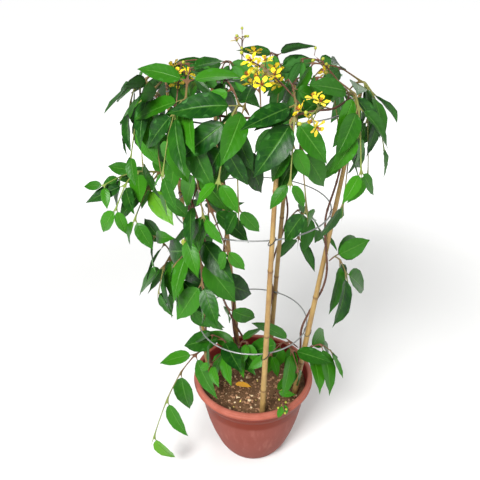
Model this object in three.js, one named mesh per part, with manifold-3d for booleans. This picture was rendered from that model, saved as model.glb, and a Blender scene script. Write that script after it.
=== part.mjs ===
// A potted maiden's jealousy: a climbing vine on a cage of bamboo canes and wire rings, in a round
// plastic pot. Millimetres, +Z up, with the origin at the middle of the pot's foot on the floor.
// Azimuths are in degrees round the pot: 0 is the right, -90 the front, 90 the back, 180 the left.
import * as THREE from "three";
import { mergeVertices } from "three/addons/utils/BufferGeometryUtils.js";
import Module from "manifold-3d";

const wasm = await Module();
wasm.setup();

const GAP = 0.3; // clearance between two pieces that touch

// Pot
const POT_HEIGHT = 205;
const POT_WALL = 3;
const POT_SIDES = 30;
const FOOT_RADIUS = 64;
const FLOOR_TOP = 7;
const LIP_RADIUS = 130;
// The outer wall under the lip, as radius and height.
const POT_WALL_OUTSIDE = [
  [FOOT_RADIUS, 0],
  [75, 15],
  [87.5, 45],
  [103, 97],
  [115.3, 165],
  [119.5, 188],
];
// The rolled lip, from its underside round to the inside
const POT_LIP = [
  [LIP_RADIUS - 3, POT_HEIGHT - 15.5],
  [LIP_RADIUS, POT_HEIGHT - 9],
  [LIP_RADIUS - 2.4, POT_HEIGHT - 2],
  [LIP_RADIUS - 7.5, POT_HEIGHT],
  [LIP_RADIUS - 12, POT_HEIGHT - 2.5],
];
const FLOOR_CORNER = 8; // width of the slope between the inside wall and the floor
// Channels under the foot, which open at its rim, with a drain hole in each
const CHANNELS = 6;
const CHANNEL_WIDTH = 20;
const CHANNEL_DEPTH = 4.5;
const CHANNEL_START = 24;
const CHANNEL_AZIMUTH = 40;
const DRAIN_RADIUS = 5;
const DRAIN_CIRCLE = 36;

// Soil
const SOIL_TOP = 180;
const SOIL_RELIEF = 2;
const SOIL_ROLL = { x: 0.11, y: 0.13 }; // radians of the roll for each millimetre
const SOIL_RINGS = [48, 92];

// Canes: thick at the foot, thin at the top, on the outer side of the rings
const CANE_BOTTOM = 104;
const CANE_FOOT_RADIUS = 6;
const CANE_TAPER = 2.8 / 610; // radius lost for each millimetre above the soil
const CANE_SIDES = 6;
const CANES = {
  front: { footAzimuth: -79, topAzimuth: -78, top: 806 },
  right: { footAzimuth: -24.5, topAzimuth: -11, top: 812 },
  back_right: { footAzimuth: 66, topAzimuth: 62, top: 808 },
  back_left: { footAzimuth: 112, topAzimuth: 118, top: 810 },
  left: { footAzimuth: 171, topAzimuth: 155, top: 807 },
};

// Wire rings and the ties that hold them to the canes
const WIRE_RADIUS = 1.3;
const RING_SIDES = 36;
const RINGS = {
  low: { radius: 110, z: 346 },
  middle: { radius: 141, z: 602 },
  top: { radius: 164, z: 790 },
};
const TIE_RADIUS = 0.8;
const TIE_SLACK = 1.42; // the loop's width against the tightest loop that clears the cane
const TIE_STEPS = 6;

// Vines: woody stems that stand in the soil, climb a cane and run along the top ring
const VINE_BOTTOM = 110;
const VINE_FOOT_RADIUS = 2.5;
const VINE_TIP_RADIUS = 1.7;
const VINE_SIDES = 4;
const RUN_RADIUS = 156;
const RUN_Z = 800;
const RUN_WAVE = 2.5;
// A twining vine's way up its cane, below the low ring and above the middle one, where it turns
// once about the cane between them: height, distance from the cane's middle, and turn in radians.
const CLIMB_START = [
  [VINE_BOTTOM, 15, 0],
  [SOIL_TOP + 4, 14, 0],
  [235, 11, 0.7],
  [290, 11.5, 0.7],
  [346, 14, 0],
];
const CLIMB_END = [
  [602, 13, 0],
  [665, 10, -0.8],
  [730, 10, -0.8],
  [776, 13, 0],
];
const TWINE_STEPS = 8;
const TWINE_CLEARANCE = 3.4;
const TWINE_SLACK = 2.4; // more room near the rings than half way
const RUN_START = 4; // degrees past the cane where the run along the top ring starts
const RUN_STEP = 16;
const TWINING_VINES = {
  left: { cane: "left", runTo: 196 },
  right: { cane: "right", runTo: -70 },
  back_right: { cane: "back_right", runTo: -2 },
  back_left: { cane: "back_left", runTo: 70 },
};
// The front vine climbs free inside the cage: azimuth, radius and height of its bends.
const FRONT_VINE = [
  [100, 12, 110],
  [100, 12, 185],
  [135, 16, 260],
  [-165, 42, 350],
  [-145, 78, 450],
  [-134, 112, 550],
  [-135, 127, 610],
  [-145, 138, 690],
  [-158, 150, 765],
  [-162, 156, 796],
  [-150, 156, 802],
  [-132, 156, 799],
  [-115, 156, 802],
  [-98, 156, 799],
  [-84, 156, 801],
];

// Shoots: each grows from a vine, at a share of the vine's length, to the azimuth, radius and
// height of its end. lift raises the middle of its arc. It carries pairs of leaves of about the
// given length, and its twigs, each from a share of the shoot's length, carry their own. Leaves
// turn their faces up and outward, or to the azimuth in facing. bare numbers the leaves that have
// been lost, two to a pair from the foot, and last is the size of the last pair against the others.
const SHOOTS = {
  trailing_shoot: {
    vine: "left", at: 0.13, to: [-151, 246, 98], lift: 56, pairs: 4, leaf: 76, facing: -105,
    bare: [3, 5, 7], last: 1.2, twigs: [],
  },
  crown_front: {
    vine: "front", at: 0.96, to: [-104, 205, 706], lift: 56, pairs: 5, leaf: 66,
    twigs: [
      { at: 0.3, to: [-116, 98, 838], lift: 10, pairs: 2, leaf: 60 },
      { at: 0.4, to: [-97, 174, 640], lift: 14, pairs: 2, leaf: 66 },
    ],
  },
  crown_front_left: {
    vine: "front", at: 0.84, to: [-128, 212, 706], lift: 58, pairs: 5, leaf: 66,
    twigs: [
      { at: 0.28, to: [-142, 116, 852], lift: 8, pairs: 2, leaf: 60 },
      { at: 0.4, to: [-114, 176, 632], lift: 14, pairs: 3, leaf: 68 },
    ],
  },
  crown_left_front: {
    vine: "front", at: 0.735, to: [-152, 214, 712], lift: 58, pairs: 5, leaf: 66,
    twigs: [
      { at: 0.3, to: [-166, 102, 838], lift: 10, pairs: 2, leaf: 60 },
      { at: 0.4, to: [-140, 178, 640], lift: 14, pairs: 2, leaf: 68 },
    ],
  },
  crown_left: {
    vine: "left", at: 0.97, to: [-176, 212, 735], lift: 52, pairs: 5, leaf: 66,
    twigs: [
      { at: 0.3, to: [-178, 92, 846], lift: 10, pairs: 2, leaf: 60 },
      { at: 0.4, to: [-166, 190, 670], lift: 14, pairs: 2, leaf: 66 },
    ],
  },
  crown_front_right: {
    vine: "right", at: 0.99, to: [-76, 206, 704], lift: 56, pairs: 5, leaf: 66,
    twigs: [
      { at: 0.3, to: [-58, 94, 836], lift: 10, pairs: 2, leaf: 60 },
      { at: 0.4, to: [-62, 178, 630], lift: 14, pairs: 2, leaf: 68 },
    ],
  },
  crown_right_front: {
    vine: "right", at: 0.84, to: [-42, 214, 698], lift: 58, pairs: 5, leaf: 66,
    twigs: [
      { at: 0.28, to: [-28, 100, 832], lift: 10, pairs: 2, leaf: 60 },
      { at: 0.4, to: [-38, 180, 618], lift: 14, pairs: 2, leaf: 68 },
    ],
  },
  crown_right: {
    vine: "back_right", at: 0.985, to: [-8, 222, 700], lift: 58, pairs: 5, leaf: 66,
    twigs: [
      { at: 0.3, to: [8, 84, 844], lift: 12, pairs: 2, leaf: 60 },
      { at: 0.4, to: [-16, 200, 650], lift: 14, pairs: 2, leaf: 68 },
    ],
  },
  crown_right_back: {
    vine: "back_right", at: 0.84, to: [30, 214, 704], lift: 58, pairs: 4, leaf: 68,
    twigs: [
      { at: 0.3, to: [38, 98, 842], lift: 12, pairs: 2, leaf: 62 },
      { at: 0.4, to: [20, 182, 640], lift: 14, pairs: 1, leaf: 68 },
    ],
  },
  crown_back_right: {
    vine: "back_left", at: 0.98, to: [68, 214, 704], lift: 58, pairs: 4, leaf: 68,
    twigs: [
      { at: 0.3, to: [72, 92, 850], lift: 10, pairs: 2, leaf: 62 },
      { at: 0.4, to: [78, 186, 640], lift: 14, pairs: 1, leaf: 68 },
    ],
  },
  crown_back: {
    vine: "back_left", at: 0.82, to: [100, 214, 704], lift: 58, pairs: 4, leaf: 68,
    twigs: [
      { at: 0.3, to: [112, 96, 832], lift: 12, pairs: 2, leaf: 62 },
      { at: 0.4, to: [106, 186, 640], lift: 14, pairs: 1, leaf: 68 },
    ],
  },
  crown_back_left: {
    vine: "left", at: 0.86, to: [140, 214, 704], lift: 58, pairs: 4, leaf: 68,
    twigs: [
      { at: 0.3, to: [148, 98, 842], lift: 12, pairs: 2, leaf: 62 },
      { at: 0.4, to: [132, 186, 640], lift: 14, pairs: 1, leaf: 68 },
    ],
  },
  spray_left: {
    vine: "left", at: 0.655, to: [-170, 264, 652], lift: 26, pairs: 5, leaf: 60, facing: -110,
    twigs: [
      { at: 0.3, to: [-158, 222, 590], lift: 14, pairs: 2, leaf: 62 },
      { at: 0.6, to: [-164, 246, 610], lift: 8, pairs: 2, leaf: 58 },
    ],
  },
  hanging_left: {
    vine: "left", at: 0.39, to: [-162, 190, 430], lift: 60, pairs: 4, leaf: 78,
    twigs: [
      { at: 0.4, to: [-168, 186, 560], lift: 8, pairs: 2, leaf: 66 },
      { at: 0.5, to: [-150, 130, 395], lift: 10, pairs: 2, leaf: 84 },
    ],
  },
  hanging_front_left: {
    vine: "front", at: 0.43, to: [-122, 158, 440], lift: 20, pairs: 4, leaf: 76,
    twigs: [
      { at: 0.35, to: [-146, 172, 520], lift: 14, pairs: 2, leaf: 74 },
      { at: 0.5, to: [-108, 118, 430], lift: 10, pairs: 2, leaf: 80 },
    ],
  },
  hanging_front: {
    vine: "front", at: 0.56, to: [-102, 165, 575], lift: 24, pairs: 4, leaf: 72,
    twigs: [{ at: 0.5, to: [-128, 180, 590], lift: 10, pairs: 2, leaf: 70 }],
  },
  hanging_right: {
    vine: "right", at: 0.46, to: [-24, 196, 440], lift: 44, pairs: 4, leaf: 78,
    twigs: [],
  },
  hanging_back_right: {
    vine: "back_right", at: 0.46, to: [40, 195, 470], lift: 44, pairs: 3, leaf: 78,
    twigs: [{ at: 0.4, to: [56, 176, 420], lift: 14, pairs: 1, leaf: 76 }],
  },
  hanging_back_left: {
    vine: "back_left", at: 0.385, to: [136, 190, 440], lift: 60, pairs: 3, leaf: 78,
    twigs: [{ at: 0.4, to: [124, 172, 560], lift: 10, pairs: 1, leaf: 76 }],
  },
  low_right: {
    vine: "right", at: 0.13, to: [-13, 170, 282], lift: 34, pairs: 3, leaf: 76,
    twigs: [],
  },
  low_middle: {
    vine: "right", at: 0.155, to: [-66, 72, 296], lift: 30, pairs: 3, leaf: 74,
    twigs: [{ at: 0.45, to: [-42, 126, 264], lift: 16, pairs: 2, leaf: 74 }],
  },
  low_left: {
    vine: "front", at: 0.143, to: [-140, 118, 280], lift: 24, pairs: 3, leaf: 60,
    twigs: [
      { at: 0.4, to: [-152, 98, 340], lift: 12, pairs: 2, leaf: 70 },
      { at: 0.3, to: [-100, 50, 324], lift: 8, pairs: 2, leaf: 52 },
    ],
  },
};
const STEM_BASE_RADIUS = 2.2;
const STEM_TIP_RADIUS = 1.2;
const TWIG_FROM = 0.5; // a twig is as thick at its foot as the shoot is at this share
const NODE_LENGTH = 3.4; // the stretch of stem that a pair of leaves grows from
const SEAT_GAP = 0.2;
const SEAT_START = 6; // from the vine's middle to the foot of a shoot, before it is drawn in
const SEAT_STEP = 0.1;

// The sprig that comes up beside the front cane and hangs its buds over the rim
const SPRIG = {
  foot: [-47, 56, 158], tip: [-64, 141, 212], lift: 40, footRadius: 1.6, tipRadius: 1.1,
  pairs: 2, leaf: 34, flowers: 0, buds: 6, from: 0.72,
};

// Racemes: stalks of star flowers, with round buds towards the tip
const RACEMES = {
  raceme_left: {
    vine: "front", at: 0.77, to: [-147, 124, 858], lift: 4, flowers: 4, buds: 2, from: 0.4,
  },
  raceme_middle: {
    vine: "right", at: 0.97, to: [-98, 100, 870], lift: 10, flowers: 8, buds: 2, from: 0.36,
  },
  raceme_front: {
    vine: "front", at: 0.99, to: [-88, 165, 862], lift: 8, flowers: 5, buds: 3, from: 0.4,
  },
  raceme_right: {
    vine: "right", at: 0.91, to: [-72, 216, 806], lift: 10, flowers: 5, buds: 2, from: 0.5,
  },
  raceme_top_right: {
    vine: "right", at: 0.8, to: [-12, 95, 862], lift: 6, flowers: 1, buds: 4, from: 0.5,
  },
  raceme_top: {
    vine: "back_left", at: 0.9, to: [106, 66, 884], lift: 10, flowers: 1, buds: 5, from: 0.5,
  },
};
const STALK_RADIUS = 1.3;
const STALK_RINGS = [0, 0.36, 0.7, 1];
const PEDICEL_RADIUS = 0.65;
const PEDICEL_LENGTH = 15;
const PETALS = 5;
const FLOWER_DEPTH = 3; // at the middle of the star
// A petal's outline from one notch to the next: degrees round the flower, radius and rise.
const PETAL_OUTLINE = [
  [-36, 2.4, 0],
  [-24, 8.6, 2.2],
  [0, 13, 2.8],
  [24, 8.6, 2.2],
];
const BUD_RADIUS = 2.6;
const BUD_PEDICEL = 0.62; // against a flower's
const PEDICEL_CHANCE = [0.9, 1.2]; // the least and the most of chance in its length
const BUD_CHANCE = [0.85, 1.15]; // and in a bud's radius
const GOLDEN_TURN = 137.5; // degrees round the stalk from one pedicel to the next
const TURN_CHANCE = 40;
const PEDICEL_FORWARD = 0.45; // a pedicel's shares of the stalk's way and of up
const PEDICEL_RISE = 0.25;

// Where each kind of thing starts in the draws of chance
const SEEDS = { fallenLeaf: 7, racemes: 900, sprig: 980, shoots: 1000 };

// Leaves: shares of the blade's length, with the half width there against the widest
const LARGE_LEAF = [
  [0.2, 0.8],
  [0.45, 1],
  [0.75, 0.6],
];
const SMALL_LEAF = [
  [0.26, 0.9],
  [0.62, 0.84],
];
const LARGE_LEAF_FROM = 80; // blades longer than this have the larger list
const LEAF_WIDTH = 0.235; // half the blade's width against its length
const LEAF_THICKNESS = 1.7; // at the midrib
const LEAF_WAVES = 1.4;
const LEAF_WAVE_HEIGHT = 0.028; // against the blade's length
const LEAF_ARCH = [0.08, 0.28]; // the least and the most drop of the tip against the length
const LEAF_FOLD = [0.1, 0.32]; // and rise of a margin against the half width
const LENGTH_CHANCE = [0.88, 1.12]; // and of chance in a leaf's length and width
const WIDTH_CHANCE = [0.9, 1.12];
const FIRST_LEAF = 0.82; // size of a shoot's first leaves, and what those half way gain on it
const MIDDLE_GAIN = 0.3;
const LAST_PAIR = { from: 0.9, size: 0.82 }; // of the shoot's length, and its leaves' size
const PAIR_SPINS = [-12, 32]; // each pair is turned about the stem by one of these in turn
// How a leaf is held: its face's share of up and of chance, its blade's shares of sideways and
// forward, its droop, and the degrees that chance may roll it by.
const FACE_RISE = 0.75;
const FACE_CHANCE = 0.5;
const LEAF_SIDEWAYS = 0.8;
const LEAF_FORWARD = 0.5;
const LEAF_DROOP = [0.35, 0.9];
const LEAF_ROLL = 50;
const MIDDLE_CALM = 60; // leaves nearer to the middle than this droop less and face up more
const PETIOLE = 0.15; // petiole against the blade's length
const PETIOLE_RADIUS = 0.75;
const LEAF_CLEARANCE = 0.35;
const STEEPEST_LEAF = 0.35; // the most that a leaf rises along its length

// The fallen leaf: foot and tip as x and y, half its width, its arch and fold, and the height above
// the soil and the step that it is lowered by
const FALLEN_LEAF = {
  foot: [-44, -19], tip: [-3, -26], halfWidth: 7.5, arch: 0.12, fold: 0.3, above: 12, step: 0.25,
};

// The ways that a leaf may be turned about its stem, and lifted, to clear what is near it.
const LEAF_LIFTS = [0, 0.35, -0.35];
const LEAF_TURNS = [0, 20, -20, 42, -42, 64, -64, 88, -88];

// Room kept clear inside each ring: middle and size of a box.
const KEPT_CLEAR = [
  { middle: [22, 0, 346], size: [76, 110, 14] },
  { middle: [0, 5, 602], size: [110, 110, 14] },
  { middle: [0, 0, 790], size: [110, 110, 14] },
];

const COLOURS = {
  pot: { color: 0xb8664f, roughness: 0.6 },
  soil: { color: 0x3c281d, roughness: 0.95 },
  bamboo: { color: 0xc89a5e, roughness: 0.6 },
  wire: { color: 0xa9aba8, roughness: 0.4, metalness: 0.8 },
  tie: { color: 0x1b1c1e, roughness: 0.6 },
  wood: { color: 0x5a3a2a, roughness: 0.8 },
  leaf: { color: 0x2c6b2e, roughness: 0.45 },
  flower: { color: 0xe6c92a, roughness: 0.6 },
  dry_leaf: { color: 0xd58a2c, roughness: 0.7 },
};

const UP = new THREE.Vector3(0, 0, 1);
const radians = THREE.MathUtils.degToRad;

function polar(azimuth, radius, z) {
  const angle = radians(azimuth);
  return new THREE.Vector3(radius * Math.cos(angle), radius * Math.sin(angle), z);
}

// A number from 0 to 1 that is always the same for the same seed and turn.
function draw(seed, turn) {
  const s = Math.sin(seed * 12.9898 + turn * 78.233) * 43758.5453;
  return s - Math.floor(s);
}

// A number between the least and the most.
function drawBetween([least, most], seed, turn) {
  return least + (most - least) * draw(seed, turn);
}

// Closed surfaces

// A surface from a list of points and triangles of their numbers.
function surface(points, triangles) {
  const geometry = new THREE.BufferGeometry();
  const flat = points.flatMap((p) => [p.x, p.y, p.z]);
  geometry.setAttribute("position", new THREE.Float32BufferAttribute(flat, 3));
  geometry.setIndex(triangles.flat());
  return geometry;
}

// A skin over rings of points. Each ring turns anticlockwise about the way to the next one.
function loft(rings, closed = false) {
  const sides = rings[0].length;
  const triangles = [];
  const last = closed ? rings.length : rings.length - 1;
  for (let i = 0; i < last; i++) {
    const a = i * sides;
    const b = ((i + 1) % rings.length) * sides;
    for (let j = 0; j < sides; j++) {
      const k = (j + 1) % sides;
      triangles.push([a + j, a + k, b + k], [a + j, b + k, b + j]);
    }
  }
  if (!closed) {
    const end = (rings.length - 1) * sides;
    for (let j = 1; j < sides - 1; j++) {
      triangles.push([0, j + 1, j], [end, end + j, end + j + 1]);
    }
  }
  return surface(rings.flat(), triangles);
}

// A ring of points about a centre, in the plane of two unit vectors.
function circle(centre, across, along, radius, sides) {
  return Array.from({ length: sides }, (_, j) => {
    const angle = (2 * Math.PI * j) / sides;
    return centre
      .clone()
      .addScaledVector(across, radius * Math.cos(angle))
      .addScaledVector(along, radius * Math.sin(angle));
  });
}

function solid(geometry) {
  const bare = geometry.clone();
  bare.deleteAttribute("normal");
  bare.deleteAttribute("uv");
  const merged = mergeVertices(bare, 1e-4);
  const vertProperties = merged.attributes.position.array;
  const triVerts = new Uint32Array(merged.index.array);
  return new wasm.Manifold(new wasm.Mesh({ numProp: 3, vertProperties, triVerts }));
}

function geometryOf(body) {
  const mesh = body.getMesh();
  const geometry = new THREE.BufferGeometry();
  geometry.setAttribute("position", new THREE.BufferAttribute(mesh.vertProperties, 3));
  geometry.setIndex(new THREE.BufferAttribute(mesh.triVerts, 1));
  return geometry;
}

// What stands already: each solid with its box and the name of its node.
const standing = [];

function stand(name, body) {
  standing.push({ name, body, box: body.boundingBox() });
}

function boxesMeet(a, b) {
  return [0, 1, 2].every((k) => a.min[k] <= b.max[k] && b.min[k] <= a.max[k]);
}

function meetsStanding(body, ownName) {
  const box = body.boundingBox();
  return standing.some(
    (other) =>
      other.name !== ownName &&
      boxesMeet(box, other.box) &&
      body.intersect(other.body).volume() > 0,
  );
}

const part = new THREE.Group();
const groups = {};
for (const name of ["pot", "cage", "plant"]) {
  groups[name] = new THREE.Group();
  part.add(groups[name]);
}

function addNode(group, name, body, colour) {
  const material = new THREE.MeshStandardMaterial(COLOURS[colour]);
  const mesh = new THREE.Mesh(geometryOf(body), material);
  mesh.name = name;
  groups[group].add(mesh);
}

// Pot

// LatheGeometry turns its profile about Y, so the result is stood up to turn about Z.
function turned(profile) {
  const points = profile.map(([radius, z]) => new THREE.Vector2(radius, z));
  return new THREE.LatheGeometry(points, POT_SIDES).rotateX(Math.PI / 2);
}

const POT_INSIDE = [1, 2, 4, 5].map((i) => {
  const [radius, z] = POT_WALL_OUTSIDE[i];
  return [radius - POT_WALL, z + 1];
});

function makePot() {
  const profile = [
    [0, 0],
    ...POT_WALL_OUTSIDE,
    ...POT_LIP,
    ...POT_INSIDE.toReversed(),
    [POT_INSIDE[0][0] - FLOOR_CORNER, FLOOR_TOP],
    [0, FLOOR_TOP],
  ];
  let pot = solid(turned(profile));
  for (let i = 0; i < CHANNELS; i++) {
    const turn = radians(CHANNEL_AZIMUTH + (360 * i) / CHANNELS);
    const channel = new THREE.BoxGeometry(FOOT_RADIUS, CHANNEL_WIDTH, 2 * CHANNEL_DEPTH);
    channel.translate(CHANNEL_START + FOOT_RADIUS / 2, 0, 0);
    pot = pot.subtract(solid(channel.rotateZ(turn)));
    const hole = new THREE.CylinderGeometry(DRAIN_RADIUS, DRAIN_RADIUS, 4 * FLOOR_TOP, 6);
    hole.rotateX(Math.PI / 2);
    hole.translate(DRAIN_CIRCLE, 0, 0);
    pot = pot.subtract(solid(hole.rotateZ(turn)));
  }
  return pot;
}

// Soil: it fills the pot to its top, and its surface rolls a little.
function soilRise(x, y) {
  return SOIL_RELIEF * Math.sin(SOIL_ROLL.x * x + 1) * Math.cos(SOIL_ROLL.y * y - 0.4);
}

function makeSoil() {
  const wallFoot = POT_INSIDE[0][0] - FLOOR_CORNER - GAP;
  const side = POT_INSIDE.slice(0, 3).map(([radius, z]) => [radius - GAP, z]);
  const top = SOIL_RINGS.toReversed().map((radius) => [radius, SOIL_TOP]);
  const [[r0, z0], [r1, z1]] = POT_INSIDE.slice(2);
  const edge = r0 + ((r1 - r0) * (SOIL_TOP - z0)) / (z1 - z0) - GAP;
  const profile = [
    [0, FLOOR_TOP + GAP],
    [wallFoot, FLOOR_TOP + GAP],
    ...side,
    [edge, SOIL_TOP],
    ...top,
    [0, SOIL_TOP],
  ];
  const geometry = turned(profile);
  const position = geometry.attributes.position;
  for (let i = 0; i < position.count; i++) {
    const x = position.getX(i);
    const y = position.getY(i);
    const isTop = position.getZ(i) > SOIL_TOP - 0.1 && Math.hypot(x, y) < edge - 1;
    if (isTop) position.setZ(i, SOIL_TOP + soilRise(x, y));
  }
  return solid(geometry);
}

// Canes

function caneRadius(z) {
  return CANE_FOOT_RADIUS - CANE_TAPER * (z - SOIL_TOP);
}

// The cane's middle at a height. It passes just outside each ring.
function caneMiddle(cane, z) {
  const seats = Object.values(RINGS).map((ring) => {
    return [ring.z, ring.radius + WIRE_RADIUS + GAP + caneRadius(ring.z)];
  });
  const upper = z < RINGS.middle.z ? 1 : 2;
  const [z0, r0] = seats[upper - 1];
  const [z1, r1] = seats[upper];
  const radius = r0 + ((r1 - r0) * (z - z0)) / (z1 - z0);
  const share = (z - SOIL_TOP) / (RINGS.top.z - SOIL_TOP);
  const azimuth = cane.footAzimuth + (cane.topAzimuth - cane.footAzimuth) * share;
  return { azimuth, radius, point: polar(azimuth, radius, z) };
}

function makeCane(cane, grow = 0) {
  const heights = [CANE_BOTTOM - grow, SOIL_TOP, RINGS.low.z, RINGS.middle.z, RINGS.top.z];
  const rings = [...heights, cane.top].map((z) => {
    const radius = caneRadius(z) + grow;
    const along = new THREE.Vector3(0, 1, 0);
    return circle(caneMiddle(cane, z).point, new THREE.Vector3(1, 0, 0), along, radius, CANE_SIDES);
  });
  return solid(loft(rings));
}

// Ties: a loop in a slanting plane, which takes in the cane and the wire that crosses it

function makeTie(cane, ring) {
  const { azimuth, radius } = caneMiddle(cane, ring.z);
  const thickness = caneRadius(ring.z);
  const outer = radius + thickness + 4 * GAP + TIE_RADIUS;
  const inner = ring.radius - WIRE_RADIUS - 2 * GAP - TIE_RADIUS;
  const halfDepth = (outer - inner) / 2;
  const halfWidth = (thickness * Math.SQRT2 + GAP + TIE_RADIUS) * TIE_SLACK;
  const outward = polar(azimuth, 1, 0);
  const slant = polar(azimuth + 90, 1, 1).normalize();
  const middle = polar(azimuth, (outer + inner) / 2, ring.z);
  const square = new THREE.Vector3().crossVectors(outward, slant);
  const rings = Array.from({ length: TIE_STEPS }, (_, i) => {
    const angle = (2 * Math.PI * i) / TIE_STEPS;
    const spoke = outward.clone().multiplyScalar(halfDepth * Math.cos(angle));
    spoke.addScaledVector(slant, halfWidth * Math.sin(angle));
    const centre = middle.clone().add(spoke);
    return circle(centre, spoke.normalize(), square.clone().negate(), TIE_RADIUS, 3);
  });
  return solid(loft(rings, true));
}

// Vines

function vineRadius(share) {
  return VINE_FOOT_RADIUS + (VINE_TIP_RADIUS - VINE_FOOT_RADIUS) * share;
}

// Bends of a vine that twines round its cane, once between each two rings, and then runs on.
function twiningBends({ cane: caneName, runTo }) {
  const cane = CANES[caneName];
  const bends = [];
  const away = (z, distance, turn) => {
    const { azimuth, point } = caneMiddle(cane, z);
    const inward = polar(azimuth, -distance * Math.cos(turn), 0);
    const sideways = polar(azimuth + 90, distance * Math.sin(turn), 0);
    return point.clone().add(inward).add(sideways);
  };
  const beside = TWINE_CLEARANCE + VINE_FOOT_RADIUS;
  for (const [z, distance, turn] of CLIMB_START) bends.push(away(z, distance, turn));
  const climb = RINGS.middle.z - RINGS.low.z;
  for (let i = 1; i < TWINE_STEPS; i++) {
    const share = i / TWINE_STEPS;
    const z = RINGS.low.z + climb * share;
    const distance = caneRadius(z) + beside + TWINE_SLACK * Math.abs(1 - 2 * share);
    bends.push(away(z, distance, 2 * Math.PI * share));
  }
  for (const [z, distance, turn] of CLIMB_END) bends.push(away(z, distance, turn));
  const cornerAzimuth = caneMiddle(cane, RUN_Z).azimuth;
  const start = cornerAzimuth + RUN_START * Math.sign(runTo - cornerAzimuth);
  const runSteps = Math.max(2, Math.round(Math.abs(runTo - cornerAzimuth) / RUN_STEP));
  for (let i = 0; i <= runSteps; i++) {
    const azimuth = start + ((runTo - start) * i) / runSteps;
    bends.push(polar(azimuth, RUN_RADIUS, RUN_Z + RUN_WAVE * (i % 2)));
  }
  return bends;
}

function makeVinePath(bends) {
  return new THREE.CatmullRomCurve3(bends, false, "catmullrom", 0.5);
}

function makeVine(path, grow = 0) {
  const steps = path.points.length - 1;
  const frames = path.computeFrenetFrames(steps);
  const rings = path.points.map((bend, i) => {
    const radius = vineRadius(i / steps) + grow;
    return circle(bend, frames.normals[i], frames.binormals[i], radius, VINE_SIDES);
  });
  return solid(loft(rings));
}

// Shoots

// An arc from one point to another, its middle raised by lift.
class Arc extends THREE.Curve {
  constructor(from, to, lift) {
    super();
    const side = new THREE.Vector3(from.y - to.y, to.x - from.x, 0).normalize();
    Object.assign(this, { from, to, lift, side });
  }

  getPoint(t, target = new THREE.Vector3()) {
    return target.lerpVectors(this.from, this.to, t).addScaledVector(UP, this.lift * 4 * t * (1 - t));
  }

  getTangent(t, target = new THREE.Vector3()) {
    const rise = this.lift * 4 * (1 - 2 * t);
    return target.subVectors(this.to, this.from).addScaledVector(UP, rise).normalize();
  }
}

// A stem whose foot rests on its vine: it is drawn in towards the vine's middle, a step at a
// time, for as long as it clears the vine. stemOn makes the stem on an arc.
function seatOnVine({ vine, at, to, lift }, stemOn) {
  const { path, room } = vines[vine];
  const middle = path.getPoint(at);
  const along = path.getTangent(at);
  const end = polar(...to);
  const heading = new Arc(middle, end, lift).getTangent(0);
  const outward = heading.clone().addScaledVector(along, -heading.dot(along)).normalize();
  const seated = (reach) => stemOn(new Arc(middle.clone().addScaledVector(outward, reach), end, lift));
  let reach = SEAT_START;
  while (growStem(seated(reach - SEAT_STEP), []).intersect(room).isEmpty()) reach -= SEAT_STEP;
  return seated(reach);
}

function stemRadius(share) {
  return STEM_BASE_RADIUS + (STEM_TIP_RADIUS - STEM_BASE_RADIUS) * share;
}

// The share of a stem's length at which each pair of its leaves grows.
function pairShares(pairs) {
  return Array.from({ length: pairs }, (_, pair) => (pair + 0.8) / (pairs + 0.1));
}

// A stem's rings: one at each end, and two close ones at each pair of leaves.
function ringShares(pairs, length) {
  const half = NODE_LENGTH / 2 / length;
  return [0, ...pairShares(pairs).flatMap((share) => [share - half, share + half]), 1];
}

// The middle of a stem at a share of its length, on the straight stretch between two rings.
function middleOf({ arc, rings }, share) {
  const next = Math.max(1, rings.findIndex((ring) => ring >= share));
  const [a, b] = [rings[next - 1], rings[next]];
  return arc.getPoint(a).lerp(arc.getPoint(b), (share - a) / (b - a));
}

function stemAlong(arc, growth, radiusAt) {
  const { pairs, leaf, facing, bare = [], last = LAST_PAIR.size } = growth;
  const rings = ringShares(pairs, arc.getLength());
  return { arc, pairs, leaf, facing, bare, last, radiusAt, rings };
}

// A shoot's stems: the main one, and its twigs, whose feet are sunk in it.
function stemsOf(shoot) {
  const main = seatOnVine(shoot, (arc) => stemAlong(arc, shoot, stemRadius));
  const twigs = shoot.twigs.map((twig) => {
    const arc = new Arc(middleOf(main, twig.at), polar(...twig.to), twig.lift);
    const { facing } = shoot;
    return stemAlong(arc, { ...twig, facing }, (share) =>
      stemRadius(TWIG_FROM + (1 - TWIG_FROM) * share),
    );
  });
  return [main, ...twigs];
}

// Leaves

// Where a leaf grows and which way it points: root, length, and the unit vectors along its
// midrib, across it and out of its upper face.
function poseLeaf(leaf, turn, lift) {
  const { root, tangent, seed } = leaf;
  const outward =
    leaf.facing === undefined
      ? new THREE.Vector3(root.x, root.y, 0).divideScalar(Math.hypot(root.x, root.y, MIDDLE_CALM))
      : polar(leaf.facing, 1, 0);
  const face = outward.clone().addScaledVector(UP, FACE_RISE);
  face.x += FACE_CHANCE * (draw(seed, 1) - 0.5);
  face.y += FACE_CHANCE * (draw(seed, 2) - 0.5);
  const side = new THREE.Vector3().crossVectors(tangent, face).normalize();
  const droop = drawBetween(LEAF_DROOP, seed, 3) * (0.35 + 0.65 * outward.length());
  const along = side.multiplyScalar(LEAF_SIDEWAYS * leaf.hand);
  along.addScaledVector(tangent, LEAF_FORWARD).addScaledVector(UP, lift - droop).normalize();
  along.applyAxisAngle(tangent, radians(turn + leaf.spin));
  const across = new THREE.Vector3().crossVectors(along, face).normalize();
  across.applyAxisAngle(along, radians(LEAF_ROLL * (draw(seed, 4) - 0.5)));
  const upper = new THREE.Vector3().crossVectors(across, along);
  return { ...leaf, along, across, upper };
}

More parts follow.
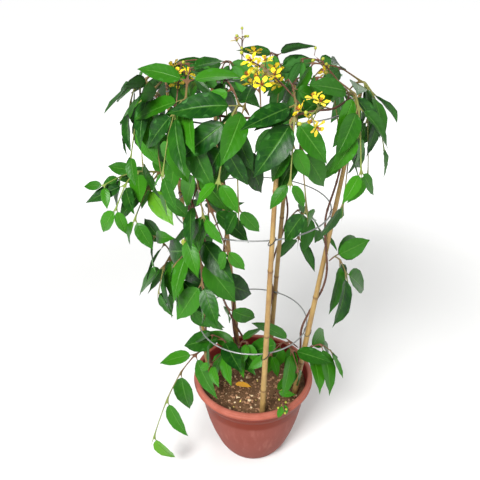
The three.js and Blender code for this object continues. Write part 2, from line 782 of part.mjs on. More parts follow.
// The middle of the blade at a share of its length, and the blade's normal there.
function midrib(leaf, share) {
  const bend = leaf.arch * share * share;
  const point = leaf.root.clone().addScaledVector(leaf.along, leaf.length * (PETIOLE + share));
  point.addScaledVector(leaf.upper, -leaf.length * bend);
  const normal = leaf.upper.clone().addScaledVector(leaf.along, 2 * leaf.arch * share).normalize();
  return { point, normal };
}

function marginLift(leaf, share, halfWidth, hand) {
  const phase = draw(leaf.seed, hand > 0 ? 5 : 6);
  const wave = Math.sin(2 * Math.PI * (LEAF_WAVES * share + phase));
  return halfWidth * leaf.fold + LEAF_WAVE_HEIGHT * leaf.length * share * wave;
}

// Left margin, top of the midrib, right margin and keel of the blade at each station.
function bladeSections(leaf) {
  return leaf.stations.map(([share, width]) => {
    const { point, normal } = midrib(leaf, share);
    const half = leaf.halfWidth * width;
    const margin = (hand) =>
      point
        .clone()
        .addScaledVector(leaf.across, hand * half)
        .addScaledVector(normal, marginLift(leaf, share, half, hand));
    const middle = (side) => point.clone().addScaledVector(normal, (side * LEAF_THICKNESS) / 2);
    return [margin(-1), middle(1), margin(1), middle(-1)];
  });
}

// Left, right and keel of the petiole, about a point of its middle.
function petioleSection(leaf, centre) {
  const r = PETIOLE_RADIUS;
  return [[-r, 0.5 * r], [r, 0.5 * r], [0, -r]].map(([x, y]) =>
    centre.clone().addScaledVector(leaf.across, x).addScaledVector(leaf.upper, y),
  );
}

// The triangles of a leaf beyond its petiole's end. Its points are the petiole's end, then each
// section, then the tip. Both faces of the blade are split alike, so they never cross.
function bladeTriangles(sectionCount) {
  const triangles = [
    [0, 1, 4], [0, 4, 3], [1, 5, 4],
    [0, 3, 6], [0, 6, 2], [1, 2, 6], [1, 6, 5],
  ];
  const numbersAt = (section) => [3, 4, 5, 6].map((n) => n + 4 * section);
  for (let i = 1; i < sectionCount; i++) {
    const [l, m, q, k] = numbersAt(i - 1);
    const [L, M, Q, K] = numbersAt(i);
    triangles.push([l, m, L], [m, M, L], [m, q, Q], [m, Q, M]);
    triangles.push([l, L, k], [L, K, k], [k, Q, q], [k, K, Q]);
  }
  const [l, m, q, k] = numbersAt(sectionCount - 1);
  const tip = 3 + 4 * sectionCount;
  triangles.push([l, m, tip], [m, q, tip], [l, tip, k], [k, tip, q]);
  return triangles;
}

function bladePoints(leaf) {
  const base = petioleSection(leaf, midrib(leaf, 0).point);
  return [...base, ...bladeSections(leaf).flat(), midrib(leaf, 1).point];
}

// A leaf by itself, closed at the foot of its petiole.
function leafGeometry(leaf) {
  const foot = petioleSection(leaf, leaf.root);
  const triangles = [[0, 2, 1], [1, 2, 5], [1, 5, 4], [0, 1, 4], [0, 4, 3], [0, 5, 2], [0, 3, 5]];
  for (const corners of bladeTriangles(leaf.stations.length)) {
    triangles.push(corners.map((n) => n + 3));
  }
  return surface([...foot, ...bladePoints(leaf)], triangles);
}

// The skin between a face of four corners and a petiole's end of three, by the shortest edges.
function bridge(points, face, end) {
  let best = null;
  for (let first = 0; first < 4; first++) {
    for (let double = 0; double < 3; double++) {
      const triangles = [];
      let length = 0;
      let i = first;
      for (let j = 0; j < 3; j++) {
        for (let n = 0; n < (j === double ? 2 : 1); n++) {
          triangles.push([face[i % 4], face[(i + 1) % 4], end[j]]);
          i += 1;
          length += points[face[i % 4]].distanceTo(points[end[j]]);
        }
        triangles.push([face[i % 4], end[(j + 1) % 3], end[j]]);
        length += points[face[i % 4]].distanceTo(points[end[(j + 1) % 3]]);
      }
      if (!best || length < best.length) best = { length, triangles };
    }
  }
  return best.triangles;
}

// A stem with its leaves in one closed skin. The stem has three sides, one of them on top, and
// ends in a point. At each pair of leaves it has a short stretch, where each leaf grows out of the
// side that faces its way.
function growStem({ arc, rings, radiusAt }, leaves) {
  const sections = rings.slice(0, -1).map((share) => {
    const down = new THREE.Vector3().crossVectors(arc.side, arc.getTangent(share));
    return circle(arc.getPoint(share), down, arc.side, radiusAt(share), 3);
  });
  const points = [...sections.flat(), arc.getPoint(1)];
  const tip = points.length - 1;
  const triangles = [[0, 2, 1]];
  const grown = new Map();
  for (const leaf of leaves) {
    const ring = 1 + 2 * leaf.pair;
    const middle = arc.getPoint(rings[ring]);
    const facing = (side) => {
      const [a, b] = [sections[ring][side], sections[ring][(side + 1) % 3]];
      return a.clone().add(b).addScaledVector(middle, -2).dot(leaf.along);
    };
    const free = [0, 1, 2].filter((side) => !grown.has(3 * ring + side));
    grown.set(3 * ring + free.reduce((a, b) => (facing(b) > facing(a) ? b : a)), leaf);
  }
  for (let a = 0; a < tip; a++) {
    const b = a % 3 === 2 ? a - 2 : a + 1;
    const leaf = grown.get(a);
    if (leaf) {
      const start = points.length;
      points.push(...bladePoints(leaf));
      triangles.push(...bridge(points, [a, b, b + 3, a + 3], [start, start + 1, start + 2]));
      for (const corners of bladeTriangles(leaf.stations.length)) {
        triangles.push(corners.map((n) => n + start));
      }
    } else if (a < tip - 3) {
      triangles.push([a, b, b + 3], [a, b + 3, a + 3]);
    } else {
      triangles.push([a, b, tip]);
    }
  }
  return solid(surface(points, triangles));
}

// The blade alone, made thicker and wider all round, to test the room for it.
function bladeRoom(leaf) {
  const stations = [[0, 0.05], ...leaf.stations, [1, 0.02]];
  const rings = stations.map(([share, width]) => {
    const { point, normal } = midrib(leaf, share);
    const half = leaf.halfWidth * width + LEAF_CLEARANCE;
    const rise = LEAF_THICKNESS / 2 + LEAF_CLEARANCE;
    const at = (x, lift) =>
      point.clone().addScaledVector(leaf.across, x).addScaledVector(normal, lift);
    const left = share > 0 ? marginLift(leaf, share, half, -1) : 0;
    const right = share > 0 ? marginLift(leaf, share, half, 1) : 0;
    const c = LEAF_CLEARANCE;
    return [
      at(0, rise), at(half, right + c), at(half, right - c),
      at(0, -rise), at(-half, left - c), at(-half, left + c),
    ];
  });
  return solid(loft(rings));
}

function petioleRoom(leaf) {
  const end = midrib(leaf, 0).point;
  const rings = [leaf.root, end].map((centre) =>
    circle(centre, leaf.upper, leaf.across, PETIOLE_RADIUS + LEAF_CLEARANCE, 4),
  );
  return solid(loft(rings));
}

// The leaves of one stem, before they are turned to clear their neighbours.
function leavesOf(stem, seed) {
  const leaves = [];
  pairShares(stem.pairs).forEach((share, pair) => {
    for (const hand of [-1, 1]) {
      const number = 2 * pair + (hand > 0 ? 1 : 0);
      if (stem.bare.includes(number)) continue;
      const leafSeed = seed + number;
      const growth = FIRST_LEAF + MIDDLE_GAIN * Math.sin(Math.PI * Math.min(1, share + 0.1));
      const size = growth * (share > LAST_PAIR.from ? stem.last : 1);
      const length = stem.leaf * size * drawBetween(LENGTH_CHANCE, leafSeed, 8);
      leaves.push({
        root: middleOf(stem, share),
        tangent: stem.arc.getTangent(share),
        hand,
        spin: PAIR_SPINS[pair % 2] * hand,
        seed: leafSeed,
        pair,
        facing: stem.facing,
        length,
        halfWidth: length * LEAF_WIDTH * drawBetween(WIDTH_CHANCE, leafSeed, 9),
        arch: drawBetween(LEAF_ARCH, leafSeed, 10),
        fold: drawBetween(LEAF_FOLD, leafSeed, 11),
        stations: length > LARGE_LEAF_FROM ? LARGE_LEAF : SMALL_LEAF,
      });
    }
  });
  return leaves;
}

// The first pose of a leaf that clears everything that stands, or null.
function placeLeaf(leaf, ownName) {
  for (const lift of LEAF_LIFTS) {
    for (const turn of LEAF_TURNS) {
      const posed = poseLeaf(leaf, turn, lift);
      if (posed.along.z > STEEPEST_LEAF) continue;
      if (meetsStanding(petioleRoom(posed), ownName)) continue;
      if (!meetsStanding(bladeRoom(posed))) return posed;
    }
  }
  return null;
}

// The fallen leaf is lowered until the next step would meet the soil.
function makeFallenLeaf(soil) {
  const { foot, tip, halfWidth, arch, fold, above, step } = FALLEN_LEAF;
  const length = Math.hypot(tip[0] - foot[0], tip[1] - foot[1]) / (1 + PETIOLE);
  const along = new THREE.Vector3(tip[0] - foot[0], tip[1] - foot[1], 0).normalize();
  const across = new THREE.Vector3().crossVectors(along, UP);
  const leaf = {
    root: new THREE.Vector3(...foot, 0),
    along, across, upper: UP, length, halfWidth, arch, fold,
    seed: SEEDS.fallenLeaf, stations: LARGE_LEAF,
  };
  const body = solid(leafGeometry(leaf));
  let z = SOIL_TOP + above;
  while (body.translate(0, 0, z - step).intersect(soil).isEmpty()) z -= step;
  return body.translate(0, 0, z);
}

// Flowers

// A star of petals on its pedicel. Each petal widens from its claw and comes to a point.
function flowerGeometry(root, away, length, phase) {
  const centre = root.clone().addScaledVector(away, length);
  const facing = away.clone().addScaledVector(UP, 0.5).normalize();
  const side = new THREE.Vector3().crossVectors(facing, new THREE.Vector3(0.3, 0.9, 0.2));
  side.normalize().applyAxisAngle(facing, 2 * Math.PI * phase);
  const at = (degrees, radius, rise) =>
    side
      .clone()
      .applyAxisAngle(facing, radians(degrees))
      .multiplyScalar(radius)
      .addScaledVector(facing, rise)
      .add(centre);
  const outline = [];
  for (let petal = 0; petal < PETALS; petal++) {
    const turn = (360 * petal) / PETALS;
    for (const [degrees, radius, rise] of PETAL_OUTLINE) {
      outline.push(at(turn + degrees, radius, rise));
    }
  }
  const neck = [60, 180, 300].map((degrees) => at(degrees, PEDICEL_RADIUS, -FLOWER_DEPTH));
  const foot = neck.map((point) => point.clone().sub(centre).add(root));
  foot.forEach((point) => point.addScaledVector(facing, FLOWER_DEPTH));
  const count = outline.length;
  const top = count + 6;
  const triangles = outline.map((_, i) => [i, (i + 1) % count, top]);
  const neckBy = (i) => count + Math.floor((3 * i) / count);
  outline.forEach((_, i) => {
    const next = (i + 1) % count;
    triangles.push([next, i, neckBy(i)]);
    if (neckBy(next) !== neckBy(i)) triangles.push([neckBy(next), next, neckBy(i)]);
  });
  for (let j = 0; j < 3; j++) {
    const [a, b] = [count + j, count + ((j + 1) % 3)];
    triangles.push([b, a, a + 3], [b, a + 3, b + 3]);
  }
  triangles.push([count + 3, count + 5, count + 4]);
  return surface([...outline, ...neck, ...foot, at(0, 0, FLOWER_DEPTH / 2)], triangles);
}

// A bud on its pedicel: three sides, a neck, a belly and a point.
function budGeometry(root, away, length, radius) {
  const side = new THREE.Vector3().crossVectors(away, UP).normalize();
  const up = new THREE.Vector3().crossVectors(away, side).negate();
  const shape = [
    [0, PEDICEL_RADIUS],
    [length - radius, PEDICEL_RADIUS],
    [length, radius],
    [length + radius, 0.3 * radius],
  ];
  const rings = shape.map(([reach, width]) =>
    circle(root.clone().addScaledVector(away, reach), up, side, width, 3),
  );
  return loft(rings);
}

// The shares of a stalk's length at which its flowers and buds grow.
function headShares(count, from) {
  return Array.from({ length: count }, (_, i) => from + ((0.98 - from) * i) / (count - 1));
}

// Flowers low on the stalk and buds above them, each on a pedicel, turning round the stalk.
function dress(body, stalk, { flowers, buds, from }, seed) {
  let dressed = body;
  headShares(flowers + buds, from).forEach((share, i) => {
    const root = middleOf(stalk, share);
    const tangent = stalk.arc.getTangent(share);
    const isFlower = i < flowers;
    const side = new THREE.Vector3().crossVectors(tangent, polar(20, 1, 0.3)).normalize();
    side.applyAxisAngle(tangent, radians(GOLDEN_TURN * i + TURN_CHANCE * draw(seed, i)));
    const away = side.addScaledVector(tangent, PEDICEL_FORWARD).addScaledVector(UP, PEDICEL_RISE);
    away.normalize();
    const reach = isFlower ? PEDICEL_LENGTH : PEDICEL_LENGTH * BUD_PEDICEL;
    const length = reach * drawBetween(PEDICEL_CHANCE, seed, 20 + i);
    const radius = BUD_RADIUS * drawBetween(BUD_CHANCE, seed, 60 + i);
    const head = isFlower
      ? flowerGeometry(root, away, length, draw(seed, 40 + i))
      : budGeometry(root, away, length, radius);
    dressed = dressed.add(solid(head));
  });
  return dressed;
}

function makeRaceme(raceme, seed) {
  const stalkOn = (arc) => ({ arc, rings: STALK_RINGS, radiusAt: () => STALK_RADIUS });
  const stalk = seatOnVine(raceme, stalkOn);
  return dress(growStem(stalk, []), stalk, raceme, seed);
}

// The whole part

const vineBends = { front: FRONT_VINE.map((bend) => polar(...bend)) };
for (const [name, vine] of Object.entries(TWINING_VINES)) vineBends[name] = twiningBends(vine);
const vines = {};
for (const [name, bends] of Object.entries(vineBends)) {
  const path = makeVinePath(bends);
  vines[name] = { path, room: makeVine(path, SEAT_GAP) };
}
const sprigArc = new Arc(polar(...SPRIG.foot), polar(...SPRIG.tip), SPRIG.lift);
const sprigRadius = (share) => SPRIG.footRadius + (SPRIG.tipRadius - SPRIG.footRadius) * share;
const sprigStem = (grow) => stemAlong(sprigArc, SPRIG, (share) => sprigRadius(share) + grow);

const pot = makePot();
addNode("pot", "pot", pot, "pot");
stand("pot", pot);

let soil = makeSoil();
for (const [name, cane] of Object.entries(CANES)) {
  const body = makeCane(cane);
  soil = soil.subtract(makeCane(cane, GAP));
  addNode("cage", `cane_${name}`, body, "bamboo");
  stand(`cane_${name}`, body);
}
for (const [name, ring] of Object.entries(RINGS)) {
  const wire = new THREE.TorusGeometry(ring.radius, WIRE_RADIUS, 3, RING_SIDES);
  const body = solid(wire.translate(0, 0, ring.z));
  addNode("cage", `ring_${name}`, body, "wire");
  stand(`ring_${name}`, body);
  for (const [caneName, cane] of Object.entries(CANES)) {
    const tie = makeTie(cane, ring);
    addNode("cage", `tie_${name}_${caneName}`, tie, "tie");
    stand(`tie_${name}_${caneName}`, tie);
  }
}
for (const [name, { path }] of Object.entries(vines)) {
  const body = makeVine(path);
  soil = soil.subtract(makeVine(path, GAP));
  addNode("plant", `vine_${name}`, body, "wood");
  stand(`vine_${name}`, body);
}
soil = soil.subtract(growStem(sprigStem(GAP), []));
addNode("pot", "soil", soil, "soil");
stand("soil", soil);

for (const { middle, size } of KEPT_CLEAR) {
  stand("kept clear", solid(new THREE.BoxGeometry(...size).translate(...middle)));
}

const stems = {};
for (const [name, shoot] of Object.entries(SHOOTS)) {
  const list = stemsOf(shoot);
  const bodies = list.map((stem) => growStem(stem, []));
  stems[name] = { list };
  stand(name, bodies.reduce((joined, body) => joined.add(body)));
}

Object.entries(RACEMES).forEach(([name, raceme], i) => {
  const body = makeRaceme(raceme, SEEDS.racemes + i);
  addNode("plant", name, body, "flower");
  stand(name, body);
});

const sprig = sprigStem(0);
stems.sprig = { list: [sprig], dressing: (body) => dress(body, sprig, SPRIG, SEEDS.sprig) };
stand("sprig", stems.sprig.dressing(growStem(sprig, [])));

const fallenLeaf = makeFallenLeaf(soil);
addNode("plant", "fallen_leaf", fallenLeaf, "dry_leaf");
stand("fallen_leaf", fallenLeaf);

let seed = SEEDS.shoots;
for (const [name, { list, dressing }] of Object.entries(stems)) {
  const bodies = list.map((stem) => {
    const leaves = [];
    for (const leaf of leavesOf(stem, seed)) {
      const placed = placeLeaf(leaf, name);
      if (!placed) continue;
      leaves.push(placed);
      stand(name, solid(leafGeometry(placed)));
    }
    seed += 100;
    return growStem(stem, leaves);
  });
  const shoot = bodies.reduce((joined, body) => joined.add(body));
  addNode("plant", name, dressing ? dressing(shoot) : shoot, "leaf");
}

export default part;
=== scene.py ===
# %% [markdown]
# # A potted maiden's jealousy
# This climbing vine grows round a cage of five bamboo canes and three wire rings in a plastic pot.
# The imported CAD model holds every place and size, so the first step loads it as a fixed frame.
# Each later step gives one kind of piece its fine shape and its finish, and stands it where the
# CAD has it.

# %% Load the frame
import math
import random

import bmesh
import bpy
import numpy as np
from mathutils import Matrix, Vector, noise


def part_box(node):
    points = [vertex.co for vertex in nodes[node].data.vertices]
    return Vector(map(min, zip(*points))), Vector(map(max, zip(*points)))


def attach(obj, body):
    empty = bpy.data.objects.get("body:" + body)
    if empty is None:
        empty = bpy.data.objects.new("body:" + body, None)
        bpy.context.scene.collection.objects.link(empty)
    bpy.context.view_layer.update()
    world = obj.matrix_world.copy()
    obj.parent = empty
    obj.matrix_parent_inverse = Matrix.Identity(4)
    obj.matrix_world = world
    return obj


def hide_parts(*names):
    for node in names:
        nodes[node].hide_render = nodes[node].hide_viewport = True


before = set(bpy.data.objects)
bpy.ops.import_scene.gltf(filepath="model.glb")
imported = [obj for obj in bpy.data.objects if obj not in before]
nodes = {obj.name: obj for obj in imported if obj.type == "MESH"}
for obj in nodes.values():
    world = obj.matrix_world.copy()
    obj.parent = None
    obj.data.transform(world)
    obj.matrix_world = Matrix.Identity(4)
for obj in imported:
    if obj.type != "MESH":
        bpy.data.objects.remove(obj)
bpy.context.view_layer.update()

MM = 0.001

# %% [markdown]
# ## The camera and the light
# A camera in Blender is a lens length, a sensor width, a place and a turn. The photograph was taken
# by someone who stood in front of the plant and looked down on it, so the camera stands at head
# height and is pitched down. The small shift slides the picture without turning the camera.

# %% Camera
CAMERA_BACK = 0.83282
CAMERA_HEIGHT = 0.97104
CAMERA_PITCH = 28.41  # degrees below the horizon
PICTURE_SIDE = 480
FOCAL_PIXELS = 499.61
PICTURE_MIDDLE = (253.17, 244.21)
SENSOR_WIDTH = 36  # mm

camera = bpy.data.objects.new("camera", bpy.data.cameras.new("camera"))
bpy.context.collection.objects.link(camera)
camera.location = (0, -CAMERA_BACK, CAMERA_HEIGHT)
camera.rotation_euler = (math.radians(90 - CAMERA_PITCH), 0, 0)
camera.data.sensor_width = SENSOR_WIDTH
camera.data.lens = FOCAL_PIXELS / PICTURE_SIDE * SENSOR_WIDTH
camera.data.shift_x = (PICTURE_SIDE / 2 - PICTURE_MIDDLE[0]) / PICTURE_SIDE
camera.data.shift_y = (PICTURE_MIDDLE[1] - PICTURE_SIDE / 2) / PICTURE_SIDE
bpy.context.scene.camera = camera
print(f"lens {camera.data.lens:.1f} mm")

# %% [markdown]
# Soft studio light is an even world with large area lamps. The world lights every side, and the
# lamps give the leaves their sheen and the pot its soft shadow. The camera sees the world as plain
# white, while it lights the plant less, so that dark leaves stay dark. The Standard view keeps
# strong greens and yellows as they are painted.

# %% World and lamps
LOOK_AT = Vector((0, 0, 0.5))


def add_lamp(name, place, size, power):
    """A square lamp at this place that faces the middle of the plant."""
    lamp = bpy.data.objects.new(name, bpy.data.lights.new(name, "AREA"))
    lamp.data.size = size
    lamp.data.energy = power
    lamp.location = place
    lamp.rotation_euler = (LOOK_AT - Vector(place)).to_track_quat("-Z", "Y").to_euler()
    bpy.context.collection.objects.link(lamp)


def make_world(light, seen):
    """A white world that lights with one strength and is seen by the camera with another."""
    world = bpy.data.worlds.new("studio")
    world.use_nodes = True
    tree = world.node_tree
    background = tree.nodes["Background"]
    background.inputs["Color"].default_value = (1, 1, 1, 1)
    path = tree.nodes.new("ShaderNodeLightPath")
    strength = tree.nodes.new("ShaderNodeMapRange")
    strength.inputs["To Min"].default_value = light
    strength.inputs["To Max"].default_value = seen
    tree.links.new(path.outputs["Is Camera Ray"], strength.inputs["Value"])
    tree.links.new(strength.outputs["Result"], background.inputs["Strength"])
    return world


bpy.context.scene.world = make_world(light=0.3, seen=1.0)
bpy.context.scene.view_settings.view_transform = "Standard"
add_lamp("key", (-1.0, -1.9, 2.2), 1.1, 114)
add_lamp("fill", (1.8, -0.6, 1.6), 1.8, 14)
add_lamp("back", (0.6, 1.9, 1.9), 1.6, 20)

# %% [markdown]
# ## Short calls for node trees
# Materials and Geometry Nodes are both trees of nodes. These helpers add a node and feed its
# sockets in one call, so that each tree below reads as a list of what it does.

# %% Node helpers
def add_node(tree, kind, inputs=None, **settings):
    """A new node. inputs gives a socket, by name or number, its value or its link."""
    node = tree.nodes.new(kind)
    for name, value in settings.items():
        setattr(node, name, value)
    for key, value in (inputs or {}).items():
        if isinstance(value, bpy.types.NodeSocket):
            tree.links.new(value, node.inputs[key])
        else:
            node.inputs[key].default_value = value
    return node


def number(tree, operation, *values):
    """The result of a Math node."""
    return add_node(tree, "ShaderNodeMath", dict(enumerate(values)), operation=operation).outputs[0]


def vector(tree, operation, *values):
    """The result of a Vector Math node. The second value of SCALE is its factor."""
    inputs = dict(enumerate(values))
    if operation == "SCALE":
        inputs = {0: values[0], "Scale": values[1]}
    node = add_node(tree, "ShaderNodeVectorMath", inputs, operation=operation)
    return node.outputs["Value" if operation in ("DOT_PRODUCT", "LENGTH") else "Vector"]


def fade(tree, value, start, end, low=0.0, high=1.0):
    """value taken smoothly from low at start to high at end."""
    inputs = {0: value, 1: start, 2: end, 3: low, 4: high}
    return add_node(tree, "ShaderNodeMapRange", inputs, interpolation_type="SMOOTHSTEP").outputs[0]


# %% [markdown]
# A finish is a Principled shader with its colour, roughness and bump fed by procedural patterns.
# Patterns read Object coordinates, in metres, or an attribute of the mesh, so they stay on the
# surface from any side.

# %% Finish helpers
def tone(red, green, blue):
    """A colour as a screen shows it, 0 to 255, as the linear colour that a shader takes."""
    share = np.array([red, green, blue]) / 255
    linear = np.where(share <= 0.04045, share / 12.92, ((share + 0.055) / 1.055) ** 2.4)
    return (*(float(x) for x in linear), 1.0)


def start_finish(name, roughness, **sockets):
    """A material, its tree and its shader. sockets are set on the shader as they are."""
    material = bpy.data.materials.new(name)
    material.use_nodes = True
    tree = material.node_tree
    shader = tree.nodes["Principled BSDF"]
    shader.inputs["Roughness"].default_value = roughness
    for title, value in sockets.items():
        shader.inputs[title.replace("_", " ")].default_value = value
    return material, tree, shader


def place_of(tree):
    return add_node(tree, "ShaderNodeTexCoord").outputs["Object"]


def attribute(tree, name):
    return add_node(tree, "ShaderNodeAttribute", attribute_name=name).outputs["Fac"]


def speckle(tree, scale, detail=4.0, roughness=0.5, place=None, stretch=None):
    """A noise from 0 to 1. stretch scales the place along each axis first."""
    at = place or place_of(tree)
    if stretch:
        at = vector(tree, "MULTIPLY", at, stretch)
    inputs = {"Vector": at, "Scale": scale, "Detail": detail, "Roughness": roughness}
    return add_node(tree, "ShaderNodeTexNoise", inputs).outputs["Fac"]


def mix(tree, factor, first, second):
    """first where factor is 0, second where it is 1."""
    inputs = {0: factor, 6: first, 7: second}
    return add_node(tree, "ShaderNodeMix", inputs, data_type="RGBA").outputs[2]


def emboss(tree, shader, height, depth):
    """Raises the surface by depth metres where height is 1."""
    inputs = {"Height": height, "Distance": depth, "Strength": 1.0}
    bump = add_node(tree, "ShaderNodeBump", inputs)
    tree.links.new(bump.outputs["Normal"], shader.inputs["Normal"])


def feed(tree, shader, title, value):
    tree.links.new(value, shader.inputs[title])


# %% [markdown]
# Geometry Nodes trees are node groups with named inputs. A modifier on an object holds the values
# of these inputs under each socket's identifier. Once the result is right it is kept as a plain
# mesh and the modifier goes, so the piece no longer depends on the tree.

# %% Geometry Nodes helpers
def start_tree(name, sockets):
    """A Geometry Nodes tree with these named inputs, its inputs' outputs and its end."""
    tree = bpy.data.node_groups.new(name, "GeometryNodeTree")
    tree.interface.new_socket("Geometry", in_out="INPUT", socket_type="NodeSocketGeometry")
    for title, kind in sockets.items():
        tree.interface.new_socket(title, in_out="INPUT", socket_type="NodeSocket" + kind)
    tree.interface.new_socket("Geometry", in_out="OUTPUT", socket_type="NodeSocketGeometry")
    given = tree.nodes.new("NodeGroupInput").outputs
    end = tree.nodes.new("NodeGroupOutput").inputs
    return tree, given, end


def stored(tree, name, kind="FLOAT"):
    """The mesh's attribute of this name."""
    return add_node(tree, "GeometryNodeInputNamedAttribute", {"Name": name}, data_type=kind).outputs[0]


def store(tree, geometry, name, value, domain="POINT"):
    """The geometry with one number kept on it as the attribute of this name."""
    inputs = {"Geometry": geometry, "Name": name, "Value": value}
    settings = {"data_type": "FLOAT", "domain": domain}
    return add_node(tree, "GeometryNodeStoreNamedAttribute", inputs, **settings).outputs[0]


def drawn(tree, low, high, seed):
    """A number drawn by chance from low to high for each point."""
    inputs = {2: low, 3: high, "Seed": seed}
    return add_node(tree, "FunctionNodeRandomValue", inputs, data_type="FLOAT").outputs[1]


def end_tree(tree, end, geometry, finish):
    """Makes the copies real, gives them their material and ends the tree."""
    real = add_node(tree, "GeometryNodeRealizeInstances", {0: geometry})
    inputs = {"Geometry": real.outputs[0], "Material": finish}
    done = add_node(tree, "GeometryNodeSetMaterial", inputs)
    tree.links.new(done.outputs[0], end[0])


def set_modifier(piece, tree, values):
    modifier = piece.modifiers.new(tree.name, "NODES")
    modifier.node_group = tree
    for item in tree.interface.items_tree:
        if item.item_type == "SOCKET" and item.in_out == "INPUT" and item.name in values:
            modifier[item.identifier] = values[item.name]


def make_plain(piece):
    """Keeps what the modifiers make of the piece as its mesh, and removes them."""
    evaluated = piece.evaluated_get(bpy.context.evaluated_depsgraph_get())
    mesh = bpy.data.meshes.new_from_object(evaluated)
    piece.modifiers.clear()
    piece.data = mesh
    return piece


# %% [markdown]
# Every finished piece rides with the part and hides the CAD nodes that it stands for.

# %% Piece helpers
def add_piece(name, mesh):
    piece = bpy.data.objects.new(name, mesh)
    bpy.context.collection.objects.link(piece)
    return piece


def settle(piece, slot, *node_names):
    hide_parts(*node_names)
    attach(piece, "root")
    print(f"{piece.name}: {sum(len(p.vertices) - 2 for p in piece.data.polygons)} triangles")


def smooth(mesh, sharp_angle=40):
    """Smooth shading, with an edge kept sharp where its faces turn more than sharp_angle."""
    work = bmesh.new()
    work.from_mesh(mesh)
    for face in work.faces:
        face.smooth = True
    for edge in work.edges:
        edge.smooth = edge.is_manifold and edge.calc_face_angle() < math.radians(sharp_angle)
    work.to_mesh(mesh)
    work.free()


def write_attribute(mesh, name, values):
    """Stores one number or one vector for each vertex."""
    values = np.asarray(values, np.float32)
    is_vector = values.ndim == 2
    layer = mesh.attributes.new(name, "FLOAT_VECTOR" if is_vector else "FLOAT", "POINT")
    layer.data.foreach_set("vector" if is_vector else "value", values.ravel())


# %% [markdown]
# ## The pot
# The pot is one moulded plastic shell that is the same all round, so its wall is a profile turned
# about the upright axis. A lathe needs few points: long plain stretches take two, and each round
# edge takes an arc. The rolled lip, the plain band under it and the flat foot follow the CAD pot.

# %% Lathe
def arc(centre, radius, start, end, steps):
    """Points of an arc as radius and height, from one angle to the other, in degrees."""
    angles = np.radians(np.linspace(start, end, steps))
    return [(centre[0] + radius * math.cos(a), centre[1] + radius * math.sin(a)) for a in angles]


def turned(name, profile, segments):
    """A closed mesh: the profile, in mm, turned about Z. It starts and ends on the axis."""
    work = bmesh.new()
    rings = []
    for radius, height in profile:
        if radius < 1e-6:
            rings.append([work.verts.new((0, 0, height * MM))])
            continue
        turns = [2 * math.pi * i / segments for i in range(segments)]
        rings.append([
            work.verts.new((radius * MM * math.cos(t), radius * MM * math.sin(t), height * MM))
            for t in turns
        ])
    for low, high in zip(rings, rings[1:]):
        for i in range(segments):
            j = (i + 1) % segments
            corners = [low[i % len(low)], low[j % len(low)], high[j % len(high)], high[i % len(high)]]
            work.faces.new(list(dict.fromkeys(corners)))
    bmesh.ops.recalc_face_normals(work, faces=work.faces)
    mesh = bpy.data.meshes.new(name)
    work.to_mesh(mesh)
    work.free()
    return mesh


# %% Pot shape
POT_SEGMENTS = 112
FOOT_RADIUS = 64
FLOOR_TOP = 7
CHANNELS = 6
CHANNEL_AZIMUTH = 40
CHANNEL_WIDTH = 20
CHANNEL_DEPTH = 4.5
CHANNEL_START = 24
DRAIN_RADIUS = 5
DRAIN_CIRCLE = 36

# Heights or radii, in metres, between which one colour of the pot gives way to the next
DUST_LINE = (0.15, 0.14)
LIP_LINE = (0.188, 0.2)
SOIL_LINE = (0.176, 0.18)
INNER_LINE = (0.1192, 0.1175)

POT_PROFILE = [
    (0, 0), (FOOT_RADIUS - 1, 0), (FOOT_RADIUS + 0.4, 0.6), (69.6, 7), (74.6, 15), (81.2, 28),
    (87.4, 45), (95.6, 69), (103, 97), (109.4, 130), (114.9, 164), (115.4, 167.5),
    (116.4, 168.6), (118.2, 178), (119.6, 187), (120.4, 189.3), (122, 190.2), (125.4, 189.6),
    *arc((124.8, 194.8), 5.1, -62, 60, 7),
    *arc((123.2, 199.6), 5.3, 48, 108, 4),
    (119.4, 203.9), (117.9, 201.8), (116.9, 196), (116.3, 188), (112.2, 165), (99.9, 98),
    (84.4, 46), (71.8, 16), (64.2, FLOOR_TOP), (0, FLOOR_TOP),
]


def cut_channels(pot):
    """Cuts the channels under the foot and the drain holes, with one boolean for them all."""
    work = bmesh.new()
    for i in range(CHANNELS):
        turn = math.radians(CHANNEL_AZIMUTH + 360 / CHANNELS * i)
        out = Vector((math.cos(turn), math.sin(turn), 0))
        box = bmesh.ops.create_cube(work, size=1)["verts"]
        size = Vector((FOOT_RADIUS, CHANNEL_WIDTH, 2 * CHANNEL_DEPTH)) * MM
        bmesh.ops.scale(work, vec=size, verts=box)
        middle = (CHANNEL_START + FOOT_RADIUS / 2) * MM
        bmesh.ops.translate(work, vec=(middle, 0, 0), verts=box)
        spin = Vector((1, 0, 0)).rotation_difference(out).to_matrix()
        bmesh.ops.rotate(work, cent=(0, 0, 0), matrix=spin, verts=box)
        drain = bmesh.ops.create_cone(
            work, cap_ends=True, segments=24, radius1=DRAIN_RADIUS * MM, radius2=DRAIN_RADIUS * MM,
            depth=4 * FLOOR_TOP * MM,
        )["verts"]
        bmesh.ops.translate(work, vec=out * DRAIN_CIRCLE * MM, verts=drain)
    cutter_mesh = bpy.data.meshes.new("channels")
    work.to_mesh(cutter_mesh)
    work.free()
    cutter = add_piece("channels", cutter_mesh)
    cut = pot.modifiers.new("channels", "BOOLEAN")
    cut.operation = "DIFFERENCE"
    cut.object = cutter
    cut.use_self = True
    make_plain(pot)
    bpy.data.objects.remove(cutter)


# %% [markdown]
# The plastic is a dusty pink-brown on the wall, where splashed water has dried, and a fresher
# orange-red on the lip and the band under it. The inside is darker and redder. Height decides the
# share of each colour, and noise breaks the change up into faint streaks and blotches.

